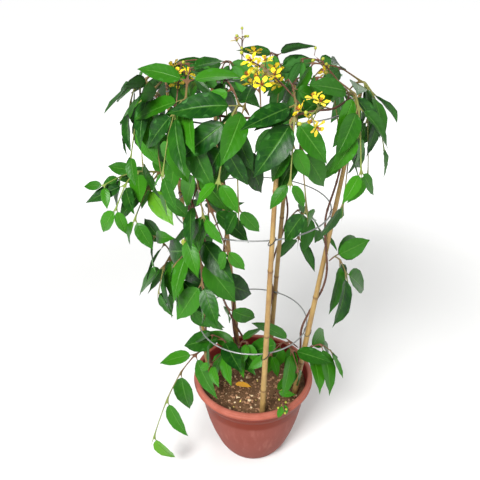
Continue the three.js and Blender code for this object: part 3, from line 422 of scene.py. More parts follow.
# %% Pot finish
def make_pot_finish():
    material, tree, shader = start_finish("pot_plastic", 0.5, Specular_IOR_Level=0.12)
    place = place_of(tree)
    axes = add_node(tree, "ShaderNodeSeparateXYZ", {0: place}).outputs
    height = axes["Z"]
    radius = vector(tree, "LENGTH", vector(tree, "MULTIPLY", place, (1, 1, 0)))
    blotch = speckle(tree, 22, 6, 0.6)
    streak = speckle(tree, 60, 5, 0.6, stretch=(1, 1, 0.12))
    grain = speckle(tree, 900, 3, 0.6)
    ragged = number(tree, "ADD", height, number(tree, "MULTIPLY_ADD", blotch, 0.006, -0.003))
    cover = fade(tree, blotch, 0.2, 0.7, 0.72, 1)
    dust = number(tree, "MULTIPLY", fade(tree, ragged, *DUST_LINE), cover)
    wall = mix(tree, dust, tone(112, 40, 22), tone(134, 72, 62))
    faint = number(tree, "MULTIPLY", fade(tree, streak, 0.5, 0.75, 0, 0.5), dust)
    wall = mix(tree, faint, wall, tone(158, 100, 88))
    foot = fade(tree, height, 0.04, 0.0, 0, 0.5)
    wall = mix(tree, foot, wall, tone(118, 62, 52))
    lip = mix(tree, fade(tree, blotch, 0.35, 0.75), tone(176, 102, 86), tone(154, 82, 64))
    colour = mix(tree, fade(tree, height, *LIP_LINE), wall, lip)
    above_soil = fade(tree, height, *SOIL_LINE)
    inner = number(tree, "MULTIPLY", fade(tree, radius, *INNER_LINE), above_soil)
    colour = mix(tree, inner, colour, tone(134, 48, 44))
    colour = mix(tree, fade(tree, grain, 0.62, 0.8, 0, 0.18), colour, tone(226, 170, 150))
    feed(tree, shader, "Base Color", colour)
    feed(tree, shader, "Roughness", number(tree, "MULTIPLY_ADD", dust, 0.2, 0.42))
    relief = number(tree, "ADD", number(tree, "MULTIPLY", grain, 0.25), streak)
    emboss(tree, shader, relief, 0.25 * MM)
    return material


pot = add_piece("pot_shell", turned("pot_shell", POT_PROFILE, POT_SEGMENTS))
cut_channels(pot)
smooth(pot.data, 38)
pot.data.materials.clear()
pot.data.materials.append(make_pot_finish())
settle(pot, "pot_plastic", "pot")

# %% [markdown]
# ## The soil
# The soil is a rough mass of bark bits. Its body is turned like the pot, with the top pushed up
# and down by noise. The bits that lie on it are one small block, instanced on scattered points by
# Geometry Nodes with random turns and sizes, because hundreds of them only need to differ in
# turn, stretch and shade. A few small pale petals that have dropped lie among them, which the same
# tree scatters from a flatter blank.

# %% Soil body
SOIL_TOP = 180
SOIL_EDGE = 113.6
SOIL_RINGS = 30
SOIL_SEGMENTS = 96
SOIL_SIDE = [(0, 7.4), (63, 7.4), (71.2, 16), (84, 46), (99.5, 98), (111.8, 165)]


def soil_height(x, y):
    """Height of the soil in metres: the CAD's slow roll, with lumps on it."""
    roll = 2 * math.sin(110 * x + 1) * math.cos(130 * y - 0.4)
    lumps = 1.6 * noise.noise(Vector((90 * x, 90 * y, 1.7)))
    crumbs = 0.8 * noise.noise(Vector((260 * x, 260 * y, 5.1)))
    return (SOIL_TOP + roll + lumps + crumbs) * MM


def make_soil_mesh():
    top = [(SOIL_EDGE * i / SOIL_RINGS, SOIL_TOP) for i in range(SOIL_RINGS, -1, -1)]
    mesh = turned("soil_bed", SOIL_SIDE + top, SOIL_SEGMENTS)
    for vertex in mesh.vertices:
        if vertex.co.z > (SOIL_TOP - 1) * MM:
            vertex.co.z = soil_height(vertex.co.x, vertex.co.y)
    smooth(mesh, 60)
    return mesh


# %% Soil finish
def make_soil_finish():
    material, tree, shader = start_finish("soil", 0.9, Specular_IOR_Level=0.25)
    shade = attribute(tree, "shade")
    fine = speckle(tree, 420, 5, 0.65)
    clump = speckle(tree, 70, 4, 0.6)
    colour = mix(tree, clump, tone(46, 29, 17), tone(128, 94, 64))
    colour = mix(tree, fade(tree, shade, 0.1, 0.9, 0, 0.95), colour, tone(180, 136, 102))
    colour = mix(tree, fade(tree, shade, 0.9, 0.97), colour, tone(232, 210, 170))
    colour = mix(tree, fade(tree, fine, 0.55, 0.75, 0, 0.45), colour, tone(206, 170, 132))
    feed(tree, shader, "Base Color", colour)
    emboss(tree, shader, fine, 1.2 * MM)
    return material


# %% Bark bits
CHIP_SEED = 11


def make_lump_blank(name, width, height):
    """A small lump one unit long, with its corners pulled about. width and height are ranges."""
    draw = random.Random(CHIP_SEED)
    work = bmesh.new()
    bmesh.ops.create_icosphere(work, subdivisions=1, radius=0.5)
    for vertex in work.verts:
        vertex.co.x *= draw.uniform(0.8, 1.1)
        vertex.co.y *= draw.uniform(*width)
        vertex.co.z *= draw.uniform(*height)
    mesh = bpy.data.meshes.new(name)
    work.to_mesh(mesh)
    work.free()
    return add_piece(name, mesh)


def make_scatter_tree():
    """Copies of a blank scattered over the upward faces of the soil, inside its edge."""
    tree, given, end = start_tree("scatter on soil", {
        "Blank": "Object", "Density": "Float", "Smallest": "Float", "Largest": "Float",
        "Edge": "Float", "Seed": "Int", "Darkest": "Float", "Palest": "Float", "Finish": "Material",
    })
    normal = add_node(tree, "GeometryNodeInputNormal").outputs[0]
    up = vector(tree, "DOT_PRODUCT", normal, (0, 0, 1))
    place = add_node(tree, "GeometryNodeInputPosition").outputs[0]
    radius = vector(tree, "LENGTH", vector(tree, "MULTIPLY", place, (1, 1, 0)))
    inside = number(tree, "LESS_THAN", radius, given["Edge"])
    chosen = number(tree, "MULTIPLY", number(tree, "GREATER_THAN", up, 0.5), inside)
    points = add_node(tree, "GeometryNodeDistributePointsOnFaces", {
        "Mesh": given["Geometry"], "Selection": chosen, "Density": given["Density"],
        "Seed": given["Seed"],
    })
    turn = add_node(tree, "FunctionNodeRandomValue", {
        0: (-0.5, -0.5, 0), 1: (0.5, 0.5, 2 * math.pi), "Seed": given["Seed"],
    }, data_type="FLOAT_VECTOR").outputs[0]
    next_seeds = [number(tree, "ADD", given["Seed"], step) for step in (1, 2)]
    length = drawn(tree, given["Smallest"], given["Largest"], next_seeds[0])
    shade = drawn(tree, given["Darkest"], given["Palest"], next_seeds[1])
    blank = add_node(tree, "GeometryNodeObjectInfo", {"Object": given["Blank"]})
    copies = add_node(tree, "GeometryNodeInstanceOnPoints", {
        "Points": points.outputs["Points"], "Instance": blank.outputs["Geometry"],
        "Rotation": turn, "Scale": length,
    })
    shaded = store(tree, copies.outputs[0], "shade", shade, "INSTANCE")
    end_tree(tree, end, shaded, given["Finish"])
    return tree


soil_finish = make_soil_finish()
soil = add_piece("soil_bed", make_soil_mesh())
soil.data.materials.append(soil_finish)
scatter_tree = make_scatter_tree()
chip_blank = make_lump_blank("chip_blank", (0.45, 0.75), (0.25, 0.5))
chips = add_piece("soil_bark_bits", soil.data.copy())
set_modifier(chips, scatter_tree, {
    "Blank": chip_blank, "Density": 26000.0, "Smallest": 3 * MM, "Largest": 11 * MM,
    "Edge": 107 * MM, "Seed": 3, "Darkest": 0.0, "Palest": 1.0, "Finish": soil_finish,
})
make_plain(chips)
settle(soil, "soil", "soil")
settle(chips, "soil", "soil")

# %% Dropped petals
def make_petal_finish():
    material, tree, shader = start_finish("dropped_petal", 0.6)
    vary = speckle(tree, 200, 3)
    feed(tree, shader, "Base Color", mix(tree, vary, tone(226, 196, 70), tone(244, 226, 130)))
    emboss(tree, shader, vary, 0.2 * MM)
    return material


PETAL_LIFT = 2.2 * MM

petal_blank = make_lump_blank("petal_blank", (0.45, 0.6), (0.12, 0.2))
lifted_soil = soil.data.copy()
lifted_soil.transform(Matrix.Translation((0, 0, PETAL_LIFT)))
dropped = add_piece("soil_dropped_petals", lifted_soil)
set_modifier(dropped, scatter_tree, {
    "Blank": petal_blank, "Density": 700.0, "Smallest": 4 * MM, "Largest": 7 * MM,
    "Edge": 100 * MM, "Seed": 8, "Darkest": 0.0, "Palest": 1.0, "Finish": make_petal_finish(),
})
make_plain(dropped)
settle(dropped, "flower", "soil")

# %% [markdown]
# ## Rods along a path
# Canes, wire and woody vines are all rods that follow a path. One tree makes them: the path is a
# line of vertices with the rod's thickness at each, which becomes a smooth curve, is cut into even
# steps and carries a round section. How near a joint lies is kept as an attribute, so that bamboo
# can swell and darken at its joints.

# %% Rod tree
def make_rod_tree():
    tree, given, end = start_tree("rod along a path", {
        "Step": "Float", "Sides": "Int", "Joint spacing": "Float", "Joint swell": "Float",
        "Knobble": "Float", "Finish": "Material",
    })
    line = add_node(tree, "GeometryNodeMeshToCurve", {"Mesh": given["Geometry"]})
    soft = add_node(tree, "GeometryNodeCurveSplineType", {0: line.outputs[0]}, spline_type="CATMULL_ROM")
    even = add_node(tree, "GeometryNodeResampleCurve", {
        "Curve": soft.outputs[0], "Length": given["Step"],
    }, mode="LENGTH")
    along = add_node(tree, "GeometryNodeSplineParameter").outputs["Length"]
    turns = number(tree, "FRACT", number(tree, "DIVIDE", along, given["Joint spacing"]))
    away = number(tree, "MULTIPLY", number(tree, "PINGPONG", turns, 0.5), given["Joint spacing"])
    joint = fade(tree, away, 0.004, 0.0005)
    marked = store(tree, even.outputs[0], "joint", joint)
    place = add_node(tree, "GeometryNodeInputPosition").outputs[0]
    lumps = add_node(tree, "ShaderNodeTexNoise", {"Vector": place, "Scale": 90.0}).outputs[0]
    lump = number(tree, "MULTIPLY", number(tree, "SUBTRACT", lumps, 0.5), given["Knobble"])
    swell = number(tree, "MULTIPLY", joint, given["Joint swell"])
    factor = number(tree, "ADD", number(tree, "ADD", swell, lump), 1.0)
    section = add_node(tree, "GeometryNodeCurvePrimitiveCircle", {
        "Resolution": given["Sides"], "Radius": 1.0,
    })
    rod = add_node(tree, "GeometryNodeCurveToMesh", {
        "Curve": marked, "Profile Curve": section.outputs["Curve"],
        "Scale": number(tree, "MULTIPLY", stored(tree, "thick"), factor), "Fill Caps": True,
    })
    soft_rod = add_node(tree, "GeometryNodeSetShadeSmooth", {0: rod.outputs[0]})
    end_tree(tree, end, soft_rod.outputs[0], given["Finish"])
    return tree


rod_tree = make_rod_tree()


def make_rod(name, points, thickness, values, closed=False):
    """A rod through these points, with its radius at each."""
    count = len(points)
    edges = [(i, i + 1) for i in range(count - 1)] + ([(count - 1, 0)] if closed else [])
    mesh = bpy.data.meshes.new(name)
    mesh.from_pydata([tuple(p) for p in points], edges, [])
    write_attribute(mesh, "thick", thickness)
    rod = add_piece(name, mesh)
    set_modifier(rod, rod_tree, values)
    return make_plain(rod)


# %% [markdown]
# The CAD rods are skins over rings of corners. Merging their doubled corners brings the rings back:
# the lowest corners are the first ring, and each next ring is what touches the one before. The
# middle of a ring is a point of the path, and the corners' distance from it is the thickness.

# %% Read a rod's path from its CAD node
SAME_CORNER = 0.02 * MM


def merged_copy(node_name):
    """A copy of a CAD node's mesh with its doubled corners merged."""
    work = bmesh.new()
    work.from_mesh(nodes[node_name].data)
    bmesh.ops.remove_doubles(work, verts=work.verts, dist=SAME_CORNER)
    work.verts.ensure_lookup_table()
    return work


def neighbours_of(work):
    return [{e.other_vert(v).index for e in v.link_edges} for v in work.verts]


def read_rod(node_name, sides):
    """The middles and the radii of a CAD rod's rings, from its lowest end."""
    work = merged_copy(node_name)
    around = neighbours_of(work)
    corners = np.array([v.co for v in work.verts])
    work.free()
    ring = set(np.argsort(corners[:, 2])[:sides].tolist())
    seen, middles, radii = set(), [], []
    while ring:
        seen |= ring
        points = corners[sorted(ring)]
        middles.append(points.mean(axis=0))
        radii.append(np.linalg.norm(points - middles[-1], axis=1).mean())
        ring = set().union(*(around[i] for i in ring)) - seen
    return middles, radii


# %% [markdown]
# ## The canes
# Bamboo canes are tan rods with a thin raised ring and a dark line at each joint, and long fine
# streaks between. The joints lie closer than on thick bamboo, and each cane starts its count at its
# own foot.

# %% Bamboo finish
def make_bamboo_finish():
    material, tree, shader = start_finish("bamboo", 0.5, Specular_IOR_Level=0.4)
    joint = attribute(tree, "joint")
    streak = speckle(tree, 500, 4, 0.6, stretch=(1, 1, 0.03))
    patch = speckle(tree, 18, 4, 0.6)
    colour = mix(tree, streak, tone(136, 106, 60), tone(184, 154, 93))
    colour = mix(tree, fade(tree, patch, 0.42, 0.7, 0, 0.75), colour, tone(124, 88, 56))
    colour = mix(tree, number(tree, "MULTIPLY", joint, 0.75), colour, tone(92, 56, 30))
    feed(tree, shader, "Base Color", colour)
    emboss(tree, shader, streak, 0.15 * MM)
    return material


CANE_JOINT_SPACING = {"front": 0.148, "right": 0.163, "back_right": 0.139, "back_left": 0.155, "left": 0.144}
bamboo = make_bamboo_finish()
for side, spacing in CANE_JOINT_SPACING.items():
    middles, radii = read_rod(f"cane_{side}", 6)
    cane = make_rod(f"bamboo_{side}", middles, radii, {
        "Step": 2 * MM, "Sides": 14, "Joint spacing": spacing, "Joint swell": 0.14,
        "Knobble": 0.05, "Finish": bamboo,
    })
    settle(cane, "bamboo", f"cane_{side}")

# %% [markdown]
# ## The wire rings and the ties
# Three rings of galvanised wire hold the canes apart, and black plastic ties hold the wire to each
# cane. A ring is the same rod again on a closed path. The CAD tie is a coarse loop, which
# subdivision rounds into a soft one in the same place.

# %% Wire and tie finishes
def make_wire_finish():
    material, tree, shader = start_finish("wire", 0.45, Metallic=0.6)
    worn = speckle(tree, 140, 4, 0.6)
    feed(tree, shader, "Base Color", mix(tree, worn, tone(116, 118, 118), tone(176, 178, 176)))
    feed(tree, shader, "Roughness", fade(tree, worn, 0.3, 0.7, 0.3, 0.55))
    emboss(tree, shader, worn, 0.1 * MM)
    return material


def make_tie_finish():
    material, tree, shader = start_finish("tie_plastic", 0.45)
    dust = speckle(tree, 300, 4, 0.6)
    colour = mix(tree, fade(tree, dust, 0.5, 0.8), tone(20, 21, 24), tone(52, 54, 58))
    feed(tree, shader, "Base Color", colour)
    emboss(tree, shader, dust, 0.15 * MM)
    return material


# %% Rings and ties
WIRE_RADIUS = 1.3 * MM
RING_STEPS = 72
RING_NAMES = ["low", "middle", "top"]
TIE_SWELL = 0.5 * MM


def rounded_copy(node_name, piece_name, finish, levels):
    """A CAD node's mesh, merged, swollen by what rounding takes off, and rounded."""
    work = merged_copy(node_name)
    work.normal_update()
    for vertex in work.verts:
        vertex.co += vertex.normal * TIE_SWELL
    mesh = bpy.data.meshes.new(piece_name)
    work.to_mesh(mesh)
    work.free()
    mesh.materials.clear()
    mesh.materials.append(finish)
    smooth(mesh, 180)
    piece = add_piece(piece_name, mesh)
    rounding = piece.modifiers.new("rounding", "SUBSURF")
    rounding.levels = rounding.render_levels = levels
    return make_plain(piece)


wire = make_wire_finish()
tie_plastic = make_tie_finish()
for ring_name in RING_NAMES:
    low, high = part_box(f"ring_{ring_name}")
    radius = (high[0] - low[0]) / 2 - WIRE_RADIUS
    height = (low[2] + high[2]) / 2
    turns = [2 * math.pi * i / RING_STEPS for i in range(RING_STEPS)]
    points = [(radius * math.cos(t), radius * math.sin(t), height) for t in turns]
    ring = make_rod(f"wire_{ring_name}", points, [WIRE_RADIUS] * RING_STEPS, {
        "Step": 8 * MM, "Sides": 8, "Joint spacing": 9.0, "Joint swell": 0.0, "Knobble": 0.0,
        "Finish": wire,
    }, closed=True)
    settle(ring, "wire", f"ring_{ring_name}")
    for side in CANE_JOINT_SPACING:
        node_name = f"tie_{ring_name}_{side}"
        settle(rounded_copy(node_name, f"{node_name}_loop", tie_plastic, 2), "tie_plastic", node_name)

# %% [markdown]
# ## The woody vines
# The old stems are thin, hard and red-brown, with small knobs where leaves have been. They follow
# the CAD paths as rods with a little knobble.

# %% Vines
def make_bark_finish():
    material, tree, shader = start_finish("vine_bark", 0.7, Specular_IOR_Level=0.3)
    ridges = speckle(tree, 260, 5, 0.65)
    patch = speckle(tree, 30, 4, 0.6)
    colour = mix(tree, ridges, tone(58, 34, 28), tone(122, 82, 64))
    colour = mix(tree, fade(tree, patch, 0.55, 0.8, 0, 0.5), colour, tone(96, 92, 52))
    feed(tree, shader, "Base Color", colour)
    emboss(tree, shader, ridges, 0.5 * MM)
    return material


vine_bark = make_bark_finish()
for side in ["front", "left", "right", "back_left", "back_right"]:
    middles, radii = read_rod(f"vine_{side}", 4)
    vine = make_rod(f"woody_vine_{side}", middles, np.array(radii) * 0.92, {
        "Step": 4 * MM, "Sides": 8, "Joint spacing": 0.057, "Joint swell": 0.25, "Knobble": 0.3,
        "Finish": vine_bark,
    })
    settle(vine, "vine_bark", f"vine_{side}")

# %% [markdown]
# ## Reading the leaves
# Each CAD leaf is a coarse blade: a tip, two or three sections of four corners, and the end of its
# leaf stalk. The tip is a corner with four neighbours, two of which lie a blade's thickness apart.
# From there the sections can be walked down to the stalk, and the corners then give back the
# leaf's place, its directions, how far it arches and how its margins lift. The fine leaf follows
# all of these, so the plant keeps its shape leaf by leaf.

# %% Walk down a leaf
BLADE_THICKNESS = 1.7 * MM
THICKNESS_SLACK = 0.06 * MM
MOST_SECTIONS = 4


def tip_section(tip, around, corners):
    """Left margin, upper middle, right margin and keel next to a leaf's tip, or None."""
    ring = sorted(around[tip])
    if len(ring) != 4:
        return None
    across = [n for n in ring[1:] if n not in around[ring[0]]]
    if len(across) != 1:
        return None
    pairs = [(ring[0], across[0]), tuple(n for n in ring[1:] if n != across[0])]
    gaps = [np.linalg.norm(corners[a] - corners[b]) for a, b in pairs]
    if abs(gaps[0] - BLADE_THICKNESS) > THICKNESS_SLACK:
        pairs.reverse()
        gaps.reverse()
    if abs(gaps[0] - BLADE_THICKNESS) > THICKNESS_SLACK:
        return None
    (middle, keel), (left, right) = pairs
    return left, middle, right, keel


def walk_leaf(tip, around, corners):
    """A leaf's sections from tip to foot and its stalk's end of three corners, or None."""
    section = tip_section(tip, around, corners)
    if section is None:
        return None
    sections, seen = [section], {tip}
    while len(sections) <= MOST_SECTIONS:
        left, middle, right, keel = sections[-1]
        from_middle = around[middle] - {left, right} - seen
        from_keel = around[keel] - {left, right} - seen
        seen |= set(sections[-1])
        if {len(from_middle), len(from_keel)} == {2, 3}:
            if len(from_middle) == 3:
                sections = [(l, k, r, m) for l, m, r, k in sections]
                from_keel = from_middle
            by_left = around[left] & from_keel
            by_right = around[right] & from_keel
            below = from_keel - by_left - by_right
            if len(by_left) == len(by_right) == len(below) == 1:
                return sections, (by_left.pop(), by_right.pop(), below.pop())
            return None
        if len(from_middle) != 1 or len(from_keel) != 1:
            return None
        next_middle, next_keel = from_middle.pop(), from_keel.pop()
        shared = around[next_middle] & around[next_keel]
        next_left, next_right = shared & around[left], shared & around[right]
        if len(next_left) != 1 or len(next_right) != 1:
            return None
        sections.append((next_left.pop(), next_middle, next_right.pop(), next_keel))
    return None


# %% Measure a leaf
def unit(v):
    return v / np.linalg.norm(v)


def lift_curve(shares, lifts):
    """The three factors of share, share squared and share cubed that pass by these lifts."""
    stations = np.array([*shares, 1.0])
    powers = np.stack([stations, stations**2, stations**3], axis=1)
    return np.linalg.lstsq(powers, np.array([*lifts, 0.0]), rcond=None)[0]


def measure_leaf(tip, sections, stalk_end, corners):
    """The leaf's foot, directions, length, arch, half width and the lift of each margin."""
    by_left, by_right, below = (corners[i] for i in stalk_end)
    foot = (by_left + by_right + below) / 3
    across = unit(by_right - by_left)
    upper = unit((by_left + by_right) / 2 - below)
    along = np.cross(upper, across)
    reach = corners[tip] - foot
    if reach @ along < 0:
        across, along = -across, -along
        sections = [(r, m, l, k) for l, m, r, k in sections]
    length = reach @ along
    arch = -(reach @ upper) / length
    shares, half_widths, lifts = [], [], {-1: [], 1: []}
    for left, middle, right, keel in reversed(sections):
        centre = (corners[middle] + corners[keel]) / 2
        share = (centre - foot) @ along / length
        normal = unit(upper + along * 2 * arch * share)
        shares.append(share)
        half_widths.append((corners[right] - corners[left]) @ across / 2)
        lifts[-1].append((corners[left] - centre) @ normal)
        lifts[1].append((corners[right] - centre) @ normal)
    return {
        "place": foot, "along": along, "across": across, "upper": upper, "length": length,
        "arch": arch, "half_width": max(half_widths), "left_lift": lift_curve(shares, lifts[-1]),
        "right_lift": lift_curve(shares, lifts[1]),
    }


# %% [markdown]
# ## The leaf blank
# One leaf of unit length and unit half width serves for all. It is a closed thin shell: an upper
# and a lower face that meet at the margin, with a keel under the midrib and a slight swell on each
# side of it. A few dozen faces are enough, because the tree below bends each copy and the finish
# draws the veins. The blank carries its share along the blade, its reach across it and its side as
# attributes.

# %% Leaf blank
# Share of the length, and the half width there against the widest.
LEAF_OUTLINE = [
    (0.0, 0.05), (0.045, 0.42), (0.13, 0.77), (0.27, 0.98), (0.44, 1.0), (0.61, 0.85),
    (0.76, 0.56), (0.88, 0.23), (1.0, 0.0),
]
LEAF_COLUMNS = [-1.0, -0.5, 0.0, 0.5, 1.0]
UPPER_RISE = {0.0: 0.5, 0.5: 1.5, 1.0: 0.0}
LOWER_RISE = {0.0: -1.1, 0.5: 0.7, 1.0: 0.0}


def make_leaf_blank():
    verts, attributes, rows = [], [], {1: [], -1: []}
    for share, width in LEAF_OUTLINE:
        for side in (1, -1):
            row = []
            for column in LEAF_COLUMNS if width else [0.0]:
                at_margin = abs(column) == 1 or not width
                if side == -1 and at_margin:
                    row.append(rows[1][-1][LEAF_COLUMNS.index(column) if width else 0])
                    continue
                rise = UPPER_RISE if side > 0 else LOWER_RISE
                height = rise[abs(column)] * min(1, 3 * width) if width else 0
                verts.append((column * width, share, height))
                attributes.append((share, column, 0 if at_margin else side))
                row.append(len(verts) - 1)
            rows[side].append(row)
    faces = []
    for side, strip in rows.items():
        for low, high in zip(strip, strip[1:]):
            for i in range(len(low) - 1):
                j = i + 1
                face = [low[i], low[j], high[j % len(high)], high[i % len(high)]]
                face = list(dict.fromkeys(face))
                faces.append(face if side > 0 else face[::-1])
    foot = [rows[1][0][i] for i in range(5)] + [rows[-1][0][i] for i in (3, 2, 1)]
    faces.append(foot[::-1])
    mesh = bpy.data.meshes.new("leaf_blank")
    mesh.from_pydata(verts, [], faces)
    shares, reaches, sides = zip(*attributes)
    write_attribute(mesh, "share", shares)
    write_attribute(mesh, "reach", reaches)
    write_attribute(mesh, "side", sides)
    smooth(mesh, 180)
    for edge in mesh.edges:
        ends = [abs(attributes[v][1]) for v in edge.vertices]
        at_tip = 1.0 in [attributes[v][0] for v in edge.vertices]
        edge.use_edge_sharp = min(ends) == 1 or (max(ends) == 1 and at_tip)
    print(f"leaf blank: {len(faces)} faces")
    return add_piece("leaf_blank", mesh)


leaf_blank = make_leaf_blank()

# %% [markdown]
# ## The flower and the bud
# A flower is a star of five petals. Each petal stands on a narrow claw, widens to a crinkled blade
# and ends in a blunt point, and ten red-brown stamens rise from the middle. It is modelled once.
# A bud is a small ribbed ball that comes to a point. The kind attribute tells the finish what is
# petal, stamen or green.

# %% Flower blank
PETALS = 5
PETAL, STAMEN, GREEN = 0, 1, 2
# Each row's distance from the middle, half width, rise and kind
PETAL_ROWS = [
    (1.0, 0.5, 0.0, 1.0), (2.6, 0.5, 0.5, 0.6), (4.4, 1.4, 1.2, 0.0), (7.2, 3.1, 2.1, 0.0),
    (10.4, 3.0, 2.9, 0.0), (12.4, 1.4, 3.1, 0.0),
]
PETAL_TIP = (13.0, 3.0)
PETAL_THICKNESS = 0.3
CRINKLE = 0.55
STAMENS = 10


class Blank:
    """Gathers the corners, faces and kinds of a small model, in mm."""

    def __init__(self):
        self.verts, self.faces, self.kinds = [], [], []

    def corner(self, point, kind):
        self.verts.append(tuple(c * MM for c in point))
        self.kinds.append(kind)
        return len(self.verts) - 1

    def skin(self, rings):
        """Adds the faces between each ring of corners and the next."""
        for low, high in zip(rings, rings[1:]):
            for i in range(len(low)):
                j = (i + 1) % len(low)
                self.faces.append([low[i], low[j], high[j], high[i]])

    def finish(self, name, angle=180):
        mesh = bpy.data.meshes.new(name)
        mesh.from_pydata(self.verts, [], self.faces)
        write_attribute(mesh, "kind", self.kinds)
        smooth(mesh, angle)
        print(f"{name}: {len(self.faces)} faces")
        return add_piece(name, mesh)


def add_petal(blank, turn):
    out = Vector((math.cos(turn), math.sin(turn), 0))
    aside = Vector((-math.sin(turn), math.cos(turn), 0))
    rows = {1: [], -1: []}
    for i, (radius, half, rise, kind) in enumerate(PETAL_ROWS):
        for side in (1, -1):
            row = []
            for column in (-1, 0, 1):
                lift = rise + side * PETAL_THICKNESS / 2 * (column == 0)
                lift += CRINKLE * abs(column) * math.sin(2.3 * i + 1.4 * column)
                if side == -1 and column:
                    row.append(rows[1][-1][column + 1])
                    continue
                point = out * radius + aside * half * column + Vector((0, 0, lift))
                row.append(blank.corner(point, kind))
            rows[side].append(row)
    tip = blank.corner(out * PETAL_TIP[0] + Vector((0, 0, PETAL_TIP[1])), PETAL)
    for side, strip in rows.items():
        for low, high in zip(strip, strip[1:]):
            for i in (0, 1):
                face = [low[i], high[i], high[i + 1], low[i + 1]]
                blank.faces.append(face if side > 0 else face[::-1])
        for i in (0, 1):
            face = [strip[-1][i], tip, strip[-1][i + 1]]
            blank.faces.append(face if side > 0 else face[::-1])
    claw = [rows[1][0][0], rows[1][0][1], rows[1][0][2], rows[-1][0][1]]
    blank.faces.append(claw)


def add_spike(blank, foot, tip, radius, kind, sides=4):
    """A thin spike with a blunt end, from foot to tip."""
    foot, tip = Vector(foot), Vector(tip)
    way = (tip - foot).normalized()
    side = way.orthogonal().normalized()
    other = way.cross(side)
    rings = []
    for at, width in ((foot, radius), (foot.lerp(tip, 0.75), radius * 0.8), (tip, radius * 1.5)):
        ring = []
        for i in range(sides):
            turn = 2 * math.pi * i / sides
            away = side * math.cos(turn) + other * math.sin(turn)
            ring.append(blank.corner(at + away * width, kind))
        rings.append(ring)
    blank.skin(rings)
    blank.faces.append(rings[0][::-1])
    blank.faces.append(rings[-1])


def make_flower_blank():
    blank = Blank()
    for petal in range(PETALS):
        add_petal(blank, 2 * math.pi * petal / PETALS)
    for i in range(STAMENS):
        turn = 2 * math.pi * (i + 0.5) / STAMENS
        reach = 2.6 if i % 2 else 1.7
        height = 5.6 if i % 2 else 6.6
        foot = (0.7 * math.cos(turn), 0.7 * math.sin(turn), -0.4)
        tip = (reach * math.cos(turn), reach * math.sin(turn), height)
        add_spike(blank, foot, tip, 0.3, STAMEN)
    for i in range(PETALS):
        turn = 2 * math.pi * (i + 0.5) / PETALS
        tip = (2.6 * math.cos(turn), 2.6 * math.sin(turn), 0.5)
        add_spike(blank, (0.4 * math.cos(turn), 0.4 * math.sin(turn), -1.4), tip, 0.6, GREEN)
    add_spike(blank, (0, 0, -3), (0, 0, 0.4), 0.75, GREEN, sides=6)
    return blank.finish("flower_blank", 60)


# %% Bud blank
BUD_SIDES = 10
BUD_PROFILE = [(0.75, -2.4), (1.7, -1.7), (2.4, -0.5), (2.45, 0.8), (1.8, 2.0), (0.9, 2.8)]
BUD_TIP = 3.3


def make_bud_blank():
    blank = Blank()
    rings = []
    for radius, height in BUD_PROFILE:
        ring = []
        for i in range(BUD_SIDES):
            turn = 2 * math.pi * i / BUD_SIDES
            width = radius * (1.06 if i % 2 else 0.94)
            point = (width * math.cos(turn), width * math.sin(turn), height)
            ring.append(blank.corner(point, GREEN))
        rings.append(ring)
    blank.skin(rings)
    tip = blank.corner((0, 0, BUD_TIP), GREEN)
    for i in range(BUD_SIDES):
        blank.faces.append([rings[-1][i], rings[-1][(i + 1) % BUD_SIDES], tip])
    blank.faces.append(rings[0][::-1])
    return blank.finish("bud_blank")


flower_blank = make_flower_blank()
bud_blank = make_bud_blank()

# %% [markdown]
# ## The shoot tree
# A shoot is one object: its stem's mesh, and a loose point for each leaf, flower and bud, which
# carries that copy's directions and sizes as attributes. The tree parts the points from the stem.
# Leaf blanks are turned by their own axes, scaled to length and width, made real and then bent: the
# arch carries each point down by the square of its share, and the lift raises each margin as the
# CAD leaf does. Flowers and buds only turn and scale. The stem is rounded by subdivision.

# %% Copies on points
def copies_on(tree, points, blank, primary, axes, scale):
    """Copies of a blank object on points, turned so that its own axes follow these attributes."""
    first, second = axes
    turn = add_node(tree, "FunctionNodeAxesToRotation", {
        0: stored(tree, first, "FLOAT_VECTOR"), 1: stored(tree, second, "FLOAT_VECTOR"),
    }, primary_axis=primary, secondary_axis="X")
    model = add_node(tree, "GeometryNodeObjectInfo", {"Object": blank})
    copies = add_node(tree, "GeometryNodeInstanceOnPoints", {
        "Points": points, "Instance": model.outputs["Geometry"], "Rotation": turn.outputs[0],
        "Scale": scale,
    })
    return add_node(tree, "GeometryNodeRealizeInstances", {0: copies.outputs[0]}).outputs[0]


def chosen_part(tree, geometry, name):
    """The points where the attribute of this name is set, and the rest."""
    inputs = {"Geometry": geometry, "Selection": stored(tree, name)}
    return add_node(tree, "GeometryNodeSeparateGeometry", inputs, domain="POINT").outputs


